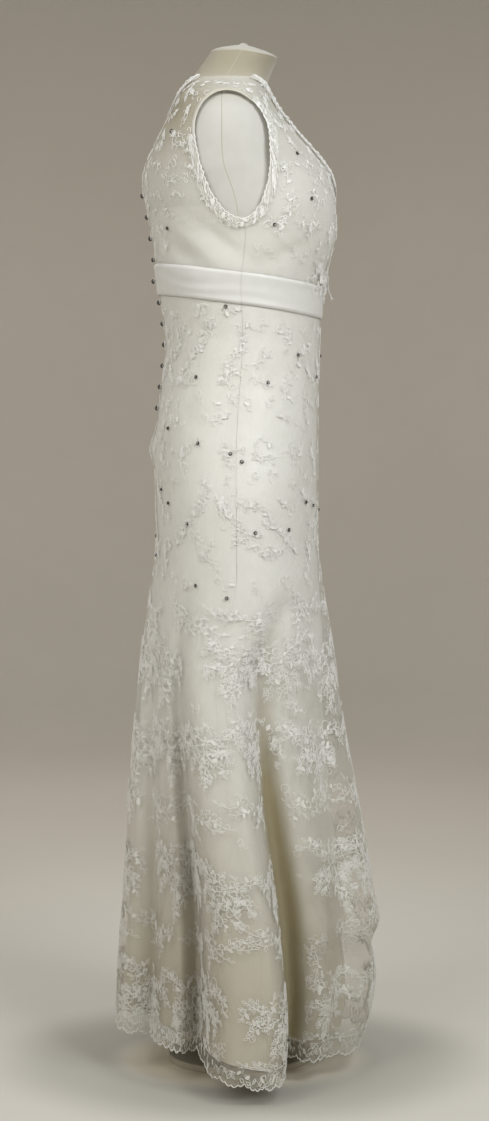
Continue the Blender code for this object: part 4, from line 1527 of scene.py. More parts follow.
def make_motif(kind: MotifKind, rng: np.random.Generator) -> Motif:
    """A motif of one kind, a little different each time.

    Args:
        kind: Which.
        rng: What makes it uneven.

    Returns:
        The motif.
    """
    motif = Motif()
    jitter = rng.uniform
    leaf = 0.0094
    side = either_side(rng)
    if kind is MotifKind.CORSAGE:
        motif.rosette(jitter(-0.004, 0.004), 0.020, 0.0080, 6, jitter(0, 60))
        for flank in (-1, 1):
            for u, v, turns, lengths, way, bends, leaves, size, twigs in (
                (0.005, 0.024, (58, 80), (0.044, 0.056), -flank, (20, 60), 8, leaf, 4),
                (0.006, 0.014, (96, 122), (0.034, 0.046), -flank, (10, 45), 7, leaf, 4),
                (0.004, 0.002, (128, 152), (0.026, 0.036), flank, (0, 40), 5, leaf, 2),
                (0.010, 0.028, (5, 40), (0.012, 0.020), flank, (50, 110), 3, leaf * 0.85, 0),
            ):
                motif.branch((flank * u, v), 90 - flank * jitter(*turns), jitter(*lengths),
                             way * jitter(*bends), leaves, size, rng, twigs)
        motif.branch((0.0, 0.014), -90 + jitter(-12, 12), jitter(0.046, 0.058), jitter(-30, 30), 9, leaf, rng, 6)
        motif.rosette(side * jitter(0.018, 0.026), jitter(0.002, 0.012), 0.0060, 5, jitter(0, 72))
        motif.curl(-side * jitter(0.026, 0.036), jitter(0.032, 0.040), jitter(0.0060, 0.0090), jitter(0, 360))
        motif.curl(-side * jitter(0.010, 0.020), jitter(-0.030, -0.020), jitter(0.0035, 0.0050), jitter(0, 360))
    elif kind is MotifKind.GARLAND:
        motif.branch((-side * 0.046, 0.014), -90 + side * jitter(48, 62), jitter(0.086, 0.104),
                     side * jitter(60, 84), 15, leaf, rng, 6)
        motif.rosette(-side * 0.014, jitter(-0.008, 0.0), 0.0060, 5, jitter(0, 72))
        motif.branch((-side * 0.020, -0.004), -90 - side * jitter(5, 25), jitter(0.020, 0.030),
                     side * jitter(10, 50), 5, leaf * 0.9, rng)
        motif.curl(-side * jitter(0.030, 0.036), jitter(0.014, 0.020), jitter(0.0040, 0.0060), jitter(0, 360))
    elif kind is MotifKind.SPRAY:
        motif.rosette(0.0, 0.0, 0.0062, 6, jitter(0, 60))
        motif.branch((side * 0.005, 0.002), 90 - side * jitter(70, 90), jitter(0.040, 0.054),
                     side * jitter(30, 60), 7, leaf, rng, 3)
        motif.branch((-side * 0.005, -0.003), 90 + side * jitter(95, 120), jitter(0.024, 0.034),
                     jitter(10, 40), 5, leaf, rng, 1)
        motif.branch((0.0, -0.006), -90 + jitter(-20, 20), jitter(0.018, 0.028), jitter(-30, 30), 4, leaf * 0.9, rng)
    elif kind is MotifKind.SPRIG:
        motif.branch((-side * 0.014, jitter(-0.004, 0.004)), 90 - side * jitter(60, 100), jitter(0.024, 0.036),
                     side * jitter(30, 80), 5, leaf * 0.92, rng, 1)
        motif.tendril(-side * 0.016, 0.0, jitter(0, 360), 0.0042, jitter(200, 300))
    else:
        heading = jitter(0, 360)
        turn = math.radians(heading)
        motif.tendril(0.0, 0.0, heading, 0.0036, side * jitter(200, 300))
        motif.tendril(0.0, 0.0, heading + 180, 0.0030, side * jitter(160, 260))
        motif.petals.append(Petal(0.001, 0.0, heading + jitter(60, 110), 0.0070, 0.0030, rng.random() < 0.4))
        if rng.random() < 0.5:
            place = (0.006 * math.cos(turn), 0.006 * math.sin(turn))
            motif.petals.append(Petal(*place, heading - 50, 0.0065, 0.0028))
    return motif


class Gathered:
    """Points and faces gathered from many shapes for one mesh."""

    def __init__(self) -> None:
        """Starts empty."""
        self.points: list[Array] = []
        self.faces: list[Array] = []
        self.count = 0

    def add(self, points: Array, faces: Array) -> None:
        """Adds a shape, whose faces count its own points."""
        self.points.append(points.reshape(-1, 3))
        self.faces.append(faces + self.count)
        self.count += len(self.points[-1])

    def mesh(self, name: str, material: Material) -> Piece:
        """One mesh of all the shapes."""
        return mesh_object(name, np.concatenate(self.points), np.concatenate(self.faces), material)


class LaceWork:
    """Corded motifs gathered into one mesh of cords and one of filled petals."""

    loop = np.array([
        (0.0, 0.0), (0.18, 0.34), (0.48, 0.50), (0.80, 0.38), (1.0, 0.0), (0.80, -0.38), (0.48, -0.50), (0.18, -0.34),
    ])
    longest = 0.03
    petal_lift, stem_lift, edge_lift, fill_rise = 0.0010, 0.0012, 0.0004, 0.0003

    def __init__(self, surface: Surface, cord: float = 0.0010, rise: float = 0.0005) -> None:
        """Starts an empty piece of work on a surface.

        Args:
            surface: What it lies on.
            cord: The width of its cords.
            rise: Their height.
        """
        self.surface, self.cord, self.rise = surface, cord, rise
        self.cords, self.fills = Gathered(), Gathered()

    def lay_cords(self, lines: Array, normals: Array, closed: bool, width: float, rise: float) -> None:
        """Lays cords along lines of as many points each.

        Args:
            lines: An array (line, point, xyz), or the points of one line.
            normals: The surface's normals there.
            closed: Whether each line ends where it starts.
            width: The cords' width.
            rise: The cords' height.
        """
        if lines.ndim == 2:
            lines, normals = lines[None], normals[None]
        ahead, behind = np.roll(lines, -1, axis=1), np.roll(lines, 1, axis=1)
        tangent = ahead - behind if closed else np.gradient(lines, axis=1)
        side = unit(np.cross(normals, tangent))
        rails = np.stack([lines - side * width / 2, lines + normals * rise, lines + side * width / 2], axis=2)
        number, length = lines.shape[:2]
        base = (np.arange(number) * length * 3)[:, None, None]
        step = np.arange(length if closed else length - 1)[None, :, None]
        after = (step + 1) % length
        rail = np.arange(2)[None, None, :]
        corners = [base + k * 3 + r for k, r in ((step, rail), (after, rail), (after, rail + 1), (step, rail + 1))]
        self.cords.add(rails, np.stack(np.broadcast_arrays(*corners), axis=-1).reshape(-1, 4))

    def lay_edge(self, row: float, columns: int, closed: bool, width: float, rise: float) -> None:
        """Lays a cord along a row of the surface, over its first columns."""
        place = np.arange(columns).astype(float)
        self.lay_cords(*self.surface.at(place * 0 + row, place, self.edge_lift), closed, width, rise)

    def placed(self, place: tuple[float, int], u: Array, v: Array, lift: float,
               allowed: Callable | None) -> tuple[Array, Array, Array]:
        """Lines laid out from a place on the surface.

        Args:
            place: The place's row and column.
            u: Distances along the row, one line a row.
            v: Distances up.
            lift: How far above the surface they are.
            allowed: A test of a point, which leaves out what lies past an edge.

        Returns:
            The lines' points, their normals, and which lines are allowed and clear of deep folds.
        """
        rows, columns = self.surface.locate(*place, u.ravel(), v.ravel())
        points, normals = (values.reshape(*u.shape, 3) for values in self.surface.at(rows, columns, lift))
        clear = ~self.surface.hidden(rows, columns).reshape(u.shape).any(axis=1)
        if allowed is not None:
            clear &= np.array([all(allowed(point) for point in line) for line in points])
        return points, normals, clear

    def lay_petals(self, place: tuple[float, int], petals: Sequence[Petal],
                   allowed: Callable | None = None) -> None:
        """Lays petals with corded edges and woven middles.

        Args:
            place: The row and column of the motif's middle.
            petals: The petals, in metres from there.
            allowed: A test of a point, which leaves out petals past an edge.
        """
        sizes = np.array([(p.u, p.v, math.radians(p.heading), p.length, p.width) for p in petals])
        foot_u, foot_v, turn, length, width = sizes.T[:, :, None]
        along, aside = self.loop[:, 0] * length, self.loop[:, 1] * width
        u = foot_u + along * np.cos(turn) - aside * np.sin(turn)
        v = foot_v + along * np.sin(turn) + aside * np.cos(turn)
        points, normals, keep = self.placed(place, u, v, self.petal_lift, allowed)
        keep &= np.linalg.norm(points - points[:, :1], axis=-1).max(axis=1) < self.longest
        if keep.any():
            self.lay_cords(points[keep], normals[keep], True, self.cord, self.rise)
        keep &= np.array([p.filled for p in petals])
        if keep.any():
            points, normals = points[keep], normals[keep]
            number, corners = points.shape[:2]
            middle = points.mean(axis=1, keepdims=True) + normals.mean(axis=1, keepdims=True) * self.fill_rise
            base = (np.arange(number) * (corners + 1))[:, None]
            step = np.arange(corners)[None, :]
            fan = [base + step, base + (step + 1) % corners, base + corners + step * 0]
            self.fills.add(np.concatenate([points, middle], axis=1), np.stack(fan, axis=-1).reshape(-1, 3))

    def lay_motif(self, motif: Motif, place: tuple[float, int], scale: float = 1.0, turn: float = 0.0,
                  allowed: Callable | None = None) -> None:
        """Lays a motif on the surface.

        Args:
            motif: The motif.
            place: The row and column of its middle.
            scale: Its size beside the motif's own.
            turn: How far it is turned, in degrees.
            allowed: A test of a point, which leaves out what lies past an edge.
        """
        angle = math.radians(turn)
        spin = np.array([[math.cos(angle), -math.sin(angle)], [math.sin(angle), math.cos(angle)]]) * scale
        petals = [
            Petal(*(spin @ (p.u, p.v)), p.heading + turn, p.length * scale, p.width * scale, p.filled)
            for p in motif.petals
        ]
        if petals:
            self.lay_petals(place, petals, allowed)
        for size in sorted({len(stem) for stem in motif.stems}):
            stems = np.array([stem for stem in motif.stems if len(stem) == size]) @ spin.T
            points, normals, keep = self.placed(place, stems[..., 0], stems[..., 1], self.stem_lift, allowed)
            keep &= np.linalg.norm(np.diff(points, axis=1), axis=-1).max(axis=1) < self.longest
            if keep.any():
                self.lay_cords(points[keep], normals[keep], False, self.cord * 0.9, self.rise)

    def pieces(self, name: str, slot: str = "lace", cord: Finish = LACE_CORD) -> list[Piece]:
        """The dressed meshes: the cords and, where there are any, the woven petals.

        Args:
            name: What their names start with.
            slot: Their finish slot.
            cord: The finish of the cords.

        Returns:
            The pieces.
        """
        made = [dressed(self.cords.mesh(name + "_cords", cord.material()), slot)]
        if self.fills.count:
            made.append(dressed(self.fills.mesh(name + "_petals", LACE_FILL.material()), slot))
        return made


# Sub-assemblies


def sewn(name: str, grid: Array, cloth: Finish, slot: str, node: str, folds: Array | None = None,
         slit: int | None = None) -> Piece:
    """A dressed sheet on a grid, which stands for one solid.

    Args:
        name: Its name.
        grid: Rows of points, the top one first.
        cloth: Its finish.
        slot: Its finish slot.
        node: The solid that it stands for.
        folds: How much painted shade each point takes.
        slit: The column before which the rows part.

    Returns:
        The piece.
    """
    return dressed(sheet_mesh(name, grid, cloth.material(), folds=folds, slit=slit), slot, node)


@dataclass
class DressForm:
    """The covered, limbless form: a torso with a slanted neck and a low domed cap."""

    sides: int = 120
    levels: int = 110
    neck_top: float = 1.5030
    neck_slope: float = 0.15
    nape_slope: float = 0.02
    neck_lean: float = 0.0095
    neck_narrowing: float = 0.93
    floor_sizes: tuple[float, ...] = (0.96, 0.5, 0.01)
    seam_turns: tuple[float, ...] = (0, 93, 180, 267)
    seam_width: float = 0.0012
    rim_width: float = 0.0009
    seam_rise: float = 0.0003
    # Painted shade on the neck starts at this height; the neck's cap takes this much painted shade all over
    neck_shade_from: float = 1.405
    cap_shade: float = 0.45
    cap_rings: tuple[tuple[float, float], ...] = (
        (0.998, 0.0001), (0.990, 0.0018), (0.962, 0.0034), (0.90, 0.0052), (0.72, 0.0084), (0.40, 0.0126),
        (0.15, 0.0156), (0.12, 0.0166), (0.10, 0.0180), (0.05, 0.0186),
    )

    def build(self) -> None:
        """Builds the torso, the neck's cap and their seams."""
        angle = np.arange(self.sides) * 360 / self.sides
        heights = np.linspace(FORM[0].height, FORM_BOTTOM, self.levels)
        rings = np.array([form.at(angle, height) for height in heights])
        top = rings[0].copy()
        top[:, 1] = top[:, 1] * self.neck_narrowing - self.neck_lean
        top[:, 2] = self.neck_top + np.where(top[:, 1] < 0, self.neck_slope, self.nape_slope) * top[:, 1]
        neck = [rings[0] + (top - rings[0]) * share for share in (1.0, 0.75, 0.5, 0.25)]
        grid = np.concatenate([neck, rings])
        whole = np.concatenate([grid, self.shrunk(grid[-1], [(size, 0.0) for size in self.floor_sizes])])
        # Painted shade on the neck, a little deeper at the nape
        neck_shade = ramp(whole[..., 2], self.neck_shade_from, 0.07) * (0.93 + 0.07 * ramp(whole[..., 1], 0.0, 0.07))
        lid = self.shrunk(top, self.cap_rings[::-1])
        for name, node, points, folds in (
            ("form_cover", "form_torso", whole, neck_shade),
            ("neck_cap_cover", "form_neck_cap", lid, np.full(lid.shape[:2], self.cap_shade)),
        ):
            dressed(sheet_mesh(name, points, COVER.material(), wraps=True, folds=folds), "cover", node)
        surface = Surface(grid, wraps=True)
        seams = LaceWork(surface)
        for turn in self.seam_turns:
            column = round(turn / 360 * self.sides)
            points, normals = surface.grid[:, column], surface.normals[:, column]
            seams.lay_cords(points, normals, False, self.seam_width, self.seam_rise)
        seams.lay_cords(surface.grid[0, :-1], surface.normals[0, :-1], True, self.rim_width, self.seam_rise)
        seams.pieces("form_seams", "cover", SEAM_THREAD)

    @staticmethod
    def shrunk(ring: Array, sizes: Sequence[tuple[float, float]]) -> Array:
        """Smaller rings round a ring's middle, each of a size and raised a little."""
        middle = ring.mean(axis=0)
        return np.array([middle + (ring - middle) * size + (0.0, 0.0, rise) for size, rise in sizes])


@dataclass
class Stand:
    """The pole with its collar, hub and round base, which keep their own solids."""

    nodes: tuple[str, ...] = ("stand_base", "stand_hub", "stand_pole", "stand_collar")

    def build(self) -> None:
        """Paints the solids."""
        for name in self.nodes:
            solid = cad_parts[name]
            for slot in solid.material_slots:
                slot.link = "OBJECT"
                slot.material = STAND_PAINT.material()
            log.info("%s: painted", name)


@dataclass
class SatinFoundation:
    """The satin bodice with its cups and the satin skirt."""

    columns: int = 48
    rows: int = 44
    skirt_steps: int = 16
    skirt_rows: int = 84
    hem_rise: float = 0.028
    bodice_front: Cut = Cut(0.48, 0.20, 0.074)
    bodice_back: Cut = Cut(0.24, 0.115, 0.0245)
    skirt: dict[str, Cut] = field(default_factory=lambda: {
        "front_right": Cut(0.44, 1.13, 0.322), "front_left": Cut(0.44, 1.13, 0.327),
        "back_right": Cut(0.42, 1.13, 0.313), "back_left": Cut(0.46, 1.13, 0.347),
    })

    def build(self) -> None:
        """Builds the seven panels."""
        half = satin_half(0, 90, cup_edge, -1, self.columns, self.rows)
        half[:, 0, 0] = 0
        half = pulled_in(half, first=0)
        self.bodice_panel("front", np.concatenate([mirrored(half)[:, :-1], half], axis=1), self.bodice_front)
        half = satin_half(90, 180, lambda angle: SATIN_BACK_TOP, 1, self.columns, self.rows)
        half[:, -1, 0] = 0
        half = pulled_in(half)
        self.bodice_panel("back_right", half, self.bodice_back)
        self.bodice_panel("back_left", mirrored(half), self.bodice_back)
        rings = FluteRings(self.skirt_steps)
        grid = moved_out(rings.grid(self.skirt_rows, self.hem_rise, satin_fullness), -SATIN_DEPTH, wraps=True)
        # folds holds each panel's painted shade
        panels, folds = rings.panels(grid), rings.panels(rings.shade_shares(grid))
        middle = (len(FOLDS) - rings.seams[-1]) * self.skirt_steps
        for made, closed in ((panels, pulled_in), (folds, np.asarray)):
            whole = made.pop("front")
            made["front_left"], made["front_right"] = closed(whole[:, :middle + 1]), closed(whole[:, middle:])
        for name, panel in panels.items():
            skirt = sewn(f"satin_skirt_{name}", panel, IVORY_SATIN, "satin", f"underskirt_{name}", folds[name])

    @staticmethod
    def bodice_panel(name: str, grid: Array, cut: Cut) -> None:
        """Builds one panel of the bodice."""
        piece = sewn(f"satin_bodice_{name}", grid, IVORY_SATIN, "satin", f"bodice_{name}")


EDGE_CLEAR, ARMHOLE_CLEAR, FRONT_CLEAR, BACK_CLEAR = 0.003, 0.004, 0.010, 0.008
SASH_CLEAR, SKIRT_CLEAR = 0.026, 0.027


def angle_of(x: float, y: float) -> float:
    """The angle of a place on the dress."""
    return math.degrees(math.atan2(-x, -y))


def on_bodice(point: Array) -> bool:
    """Whether a point of the bodice lies on its lace, clear of the armholes, the neckline and the sash.

    Args:
        point: The point.

    Returns:
        Whether lace may lie there.
    """
    x, y, z = point
    if z > SHOULDER_TOP - EDGE_CLEAR or abs(z - sash_line(angle_of(x, y))) < SASH_CLEAR:
        return False
    beside_armhole = armhole.low < z < armhole.top and abs(x) > armhole.inmost
    if beside_armhole and abs(y - armhole.middle(z)) < armhole.half(z) + ARMHOLE_CLEAR:
        return False
    if y < dress.middle(np.array(z)):
        return z < FRONT_NECK_LOW - EDGE_CLEAR or abs(x) > float(neck_front(np.array(z))) + FRONT_CLEAR
    return z < BACK_NECK_LOW - EDGE_CLEAR or abs(x) > float(neck_back(np.array(z))) + BACK_CLEAR


def on_skirt(point: Array) -> bool:
    """Whether a point of the skirt's lace lies below the sash."""
    x, y, z = point
    return z < sash_line(angle_of(x, y)) - SKIRT_CLEAR


@dataclass(frozen=True)
class MotifRow:
    """A row of motifs round the dress.

    Attributes:
        height: The height of their middles.
        kind: Which motif.
        count: How many there are round the whole row.
        first: Where the first is, in parts of the distance between two.
        scale: Their size beside the motif's own.
        uneven: How far they may stray, in metres.
        sides: How far round from the centre front they lie on each side, in degrees.
    """

    height: float
    kind: MotifKind
    count: int
    first: float
    scale: float
    uneven: float
    sides: tuple[float, float] = (0.0, 180.0)


CORSAGE, GARLAND, SPRAY, SPRIG, SQUIGGLE = MotifKind
BODICE_MOTIFS: tuple[MotifRow, ...] = tuple(MotifRow(*row) for row in (
    (1.445, SQUIGGLE, 40, 0.2, 1.1, 0.006), (1.425, SPRIG, 20, 0.2, 0.9, 0.008),
    (1.400, SPRIG, 22, 0.5, 0.9, 0.010), (1.375, SPRIG, 20, 0.1, 0.9, 0.010),
    (1.350, SPRIG, 20, 0.1, 0.9, 0.010), (1.330, SQUIGGLE, 44, 0.3, 1.1, 0.010),
    (1.305, SPRIG, 20, 0.6, 0.95, 0.010), (1.285, SQUIGGLE, 40, 0.6, 1.15, 0.010),
    (1.265, SPRIG, 18, 0.2, 0.9, 0.010, (0, 92)), (1.265, SQUIGGLE, 34, 0.3, 1.1, 0.010, (120, 180)),
    (1.246, SQUIGGLE, 40, 0.6, 1.15, 0.010, (0, 96)), (1.230, SPRIG, 18, 0.7, 0.9, 0.010, (0, 80)),
    (1.235, SQUIGGLE, 34, 0.7, 1.1, 0.010, (132, 180)), (1.208, SQUIGGLE, 36, 0.4, 1.15, 0.008, (0, 84)),
    (1.205, SPRIG, 16, 0.4, 0.9, 0.008, (138, 180)), (1.188, SPRAY, 14, 0.5, 0.60, 0.004, (0, 40)),
))
SKIRT_MOTIFS: tuple[MotifRow, ...] = tuple(MotifRow(*row) for row in (
    (1.118, SPRIG, 16, 0.2, 0.9, 0.010, (88, 180)), (1.095, SQUIGGLE, 34, 0.3, 1.15, 0.014),
    (1.078, SPRIG, 15, 0.7, 0.95, 0.012, (96, 180)), (1.070, SPRIG, 14, 0.3, 0.95, 0.012, (0, 62)),
    (1.046, SPRAY, 12, 0.35, 0.80, 0.010, (92, 180)), (1.040, SPRIG, 15, 0.1, 0.95, 0.014, (0, 92)),
    (1.018, SPRIG, 16, 0.6, 0.95, 0.012), (0.990, SQUIGGLE, 34, 0.2, 1.2, 0.014),
    (0.965, SPRIG, 15, 0.4, 0.95, 0.014, (0, 66)), (0.950, SPRIG, 13, 0.7, 0.95, 0.014, (96, 180)),
    (0.925, SQUIGGLE, 34, 0.5, 1.2, 0.014), (0.905, SPRIG, 15, 0.1, 0.95, 0.014),
    (0.880, SQUIGGLE, 30, 0.8, 1.2, 0.014), (0.846, SPRAY, 13, 0.3, 0.82, 0.016, (118, 180)),
    (0.838, SPRIG, 16, 0.6, 1.0, 0.020, (0, 108)), (0.806, SPRAY, 11, 0.8, 0.85, 0.022),
    (0.786, SQUIGGLE, 36, 0.3, 1.25, 0.012), (0.762, SPRIG, 12, 0.5, 1.0, 0.014),
    (0.735, SQUIGGLE, 28, 0.1, 1.25, 0.014), (0.690, GARLAND, 10, 0.25, 0.95, 0.012),
    (0.650, SQUIGGLE, 12, 0.40, 1.1, 0.012), (0.594, CORSAGE, 10, 0.72, 1.00, 0.024),
    (0.548, SQUIGGLE, 14, 0.22, 1.1, 0.014), (0.492, CORSAGE, 11, 0.18, 1.05, 0.026),
    (0.410, GARLAND, 12, 0.62, 1.05, 0.020), (0.372, SQUIGGLE, 12, 0.12, 1.1, 0.014),
    (0.300, CORSAGE, 14, 0.66, 1.08, 0.030), (0.212, GARLAND, 15, 0.16, 1.08, 0.018),
    (0.122, CORSAGE, 15, 0.60, 1.05, 0.024), (0.052, GARLAND, 14, 0.10, 0.85, 0.004),
))


@dataclass
class LaceOverlay:
    """Tulle over the whole dress, with corded flowers that grow denser towards the hem."""

    columns: int = 60
    strap_rows: int = 12
    yoke_rows: int = 70
    chest_rows: int = 34
    skirt_steps: int = 16
    skirt_rows: int = 96
    edging_width: float = 0.030
    bodice_seed: int = 11
    skirt_seed: int = 7
    bodice_front: Cut = Cut(0.52, 0.38, 0.145)
    bodice_back: Cut = Cut(0.26, 0.36, 0.0625)
    skirt: dict[str, Cut] = field(default_factory=lambda: {
        "front": Cut(0.90, 1.15, 0.695), "back_right": Cut(0.43, 1.15, 0.318),
        "back_left": Cut(0.47, 1.15, 0.354),
    })
    bands: dict[str, float] = field(default_factory=lambda: {
        "hip": 0.74, "knee": 0.58, "calf": 0.45, "shin": 0.34, "ankle": 0.24, "foot": 0.13, "hem": 0.0,
    })

    def build(self) -> None:
        """Builds the tulle, then the flowers on it."""
        self.build_bodice()
        self.build_skirt()

    def build_bodice(self) -> None:
        """Builds the three lace panels of the bodice and their motifs."""
        heights = np.concatenate([
            np.linspace(SHOULDER_TOP, armhole.top, self.strap_rows),
            np.linspace(armhole.top - 0.001, armhole.low, self.yoke_rows),
            np.linspace(armhole.low - 0.003, WAIST_HEIGHT, self.chest_rows),
        ])
        half = pulled_in(bodice_grid(heights, self.columns, front_inner, front_outer), first=0)
        front = self.bodice_panel("front", np.concatenate([mirrored(half), half], axis=1), self.columns)
        half = pulled_in(bodice_grid(heights, self.columns, back_inner, back_outer))
        backs = {"back_right": self.bodice_panel("back_right", half)}
        backs["back_left"] = self.bodice_panel("back_left", mirrored(half))
        angle = np.arange(0, 360, 2.0)
        levels = [bodice_level(height, angle) for height in heights]
        grid = np.array([dress.off(angle, level, creased(angle, level)) for level in levels])
        work = LaceWork(Surface(grid, wraps=True))
        rng = np.random.default_rng(self.bodice_seed)
        for row in BODICE_MOTIFS:
            self.lay_row(work, row, on_bodice, rng)
        work.pieces("bodice_flowers")

    @staticmethod
    def bodice_panel(name: str, grid: Array, slit: int | None = None) -> Piece:
        """One panel of the bodice, with painted shade on its yoke, deeper towards the back."""
        # Painted shade on the yoke, deeper towards the back
        shadowed = ramp(grid[..., 2], 1.300, 0.11) * (0.26 + 0.72 * ramp(grid[..., 1], 0.01, 0.08))
        return sewn(f"tulle_bodice_{name}", grid, YOKE_TULLE, "lace", f"lace_bodice_{name}", shadowed, slit)

    def build_skirt(self) -> None:
        """Builds the three lace panels of the skirt and their motifs."""
        rings = FluteRings(self.skirt_steps)
        grid = rings.grid(self.skirt_rows, self.edging_width + SEAM_GAP)
        # folds holds each panel's painted shade
        folds = rings.panels(rings.shade_shares(grid))
        panels = {
            name: sewn(f"tulle_skirt_{name}", panel, TULLE, "lace", f"lace_skirt_{name}", folds[name])
            for name, panel in rings.panels(grid).items()
        }
        surface = Surface(grid, wraps=True, folds=rings.shade_shares(grid))
        rng = np.random.default_rng(self.skirt_seed)
        works = {label: LaceWork(surface) for label in self.bands}
        for row in SKIRT_MOTIFS:
            label = next(name for name, low in self.bands.items() if row.height > low)
            self.lay_row(works[label], row, on_skirt, rng)
        flowers = [piece for label, work in works.items() for piece in work.pieces(f"{label}_flowers")]

    @staticmethod
    def lay_row(work: LaceWork, row: MotifRow, allowed: Callable, rng: np.random.Generator) -> None:
        """Lays a row of motifs at even distances round the dress, each a little astray.

        Args:
            work: The lace that they belong to.
            row: The row.
            allowed: A test of a point.
            rng: What makes them uneven.
        """
        surface = work.surface
        level = int(np.clip(surface.row_at(row.height, 0), 0, surface.rows - 1))
        round_it = surface.across[level]
        for number in range(row.count):
            along = (number + row.first) / row.count * round_it[-1] + rng.uniform(-1, 1) * row.uneven
            column = int(np.interp(along % round_it[-1], round_it, np.arange(surface.columns)))
            height = row.height + rng.uniform(-0.6, 0.6) * row.uneven
            x, y, _ = surface.grid[level, column]
            if not row.sides[0] <= abs(angle_of(x, y)) <= row.sides[1]:
                continue
            most = 14 if row.kind in (CORSAGE, GARLAND) else 60
            turn = rng.uniform(-most, most)
            motif = make_motif(row.kind, rng)
            place = (surface.row_at(height, column), column)
            work.lay_motif(motif, place, row.scale * rng.uniform(0.92, 1.08), turn, allowed)


def even_path(angle: Array, height: Array, step: float) -> tuple[Array, Array, float]:
    """The same path on the dress with even steps.

    Args:
        angle: Its angles.
        height: Its heights.
        step: About how long each step is.

    Returns:
        The angles, the heights and the path's length.
    """
    points = dress.at(angle, height)
    along = np.concatenate([[0], np.cumsum(np.linalg.norm(np.diff(points, axis=0), axis=-1))])
    even = np.linspace(0, along[-1], max(8, round(along[-1] / step)) + 1)
    return np.interp(even, along, angle), np.interp(even, along, height), float(along[-1])


@dataclass
class HemEdging:
    """The scalloped lace below the tulle skirt, with its corded edge and leaves."""

    scallops: int = 16
    steps_each: int = 6
    wide_wave: float = 0.006
    small_wave: float = 0.003
    width: float = 0.030
    cut_width: float = 0.034
    rows: int = 8
    cord_width: float = 0.0016
    cord_rise: float = 0.0012
    seed: int = 5

    def build(self) -> None:
        """Builds the three strips, their cords and their leaves."""
        rings = FluteRings(self.scallops * self.steps_each)
        place = np.arange(len(rings.lift))
        wide = 1 - np.abs(np.sin(np.pi * place / (self.scallops * self.steps_each / 4)))
        small = 1 - np.abs(np.sin(np.pi * place / self.steps_each))
        low = rings.hem_height + rings.lift + self.wide_wave * wide + self.small_wave * small
        top = rings.hem_height + rings.lift + self.width
        grid = np.array([rings.ring(top + (low - top) * share) for share in np.linspace(0, 1, self.rows)])
        # folds holds each strip's painted shade
        folds = rings.panels(rings.shade_shares(grid))
        for name, panel in rings.panels(grid).items():
            strip = sewn(f"hem_edging_{name}", panel, TULLE, "lace", f"hem_lace_{name}", folds[name])
        surface = Surface(grid, wraps=True)
        work = LaceWork(surface)
        work.lay_edge(self.rows - 1.0, surface.columns - 1, True, self.cord_width, self.cord_rise)
        rng = np.random.default_rng(self.seed)
        for column in range(0, surface.columns - 1, self.steps_each + 2):
            side = either_side(rng)
            heading = 90 - side * rng.uniform(10, 60)
            petals = [Petal(side * 0.0015, 0.0, heading, rng.uniform(0.008, 0.011), 0.0040)]
            if rng.random() < 0.6:
                heading = 90 + side * rng.uniform(0, 50)
                petals.append(Petal(-side * 0.002, 0.005, heading, 0.0085, 0.0034, rng.random() < 0.5))
            work.lay_petals((self.rows - rng.uniform(1.8, 4.5), column), petals)
            curls = Motif()
            curls.tendril(0.0, 0.0, rng.uniform(0, 360), rng.uniform(0.003, 0.0045), side * rng.uniform(200, 300))
            curls.tendril(side * 0.004, 0.007, rng.uniform(40, 140), 0.0035, -side * rng.uniform(180, 280))
            work.lay_motif(curls, (self.rows - rng.uniform(2.5, 6.0), column))
        work.pieces("hem_edging")


@dataclass(frozen=True)
class Strip:
    """What sets one scalloped edging apart.

    Attributes:
        width: How far it reaches onto the cloth.
        inside: How far it reaches past the edge.
        flare: How far its scallops stand off.
        cord_width: The width of its edge's cord.
        spacing: The distance between its petals, in scallops.
    """

    width: float
    inside: float = 0.003
    flare: float = 0.0022
    cord_width: float = 0.0016
    spacing: float = 0.36


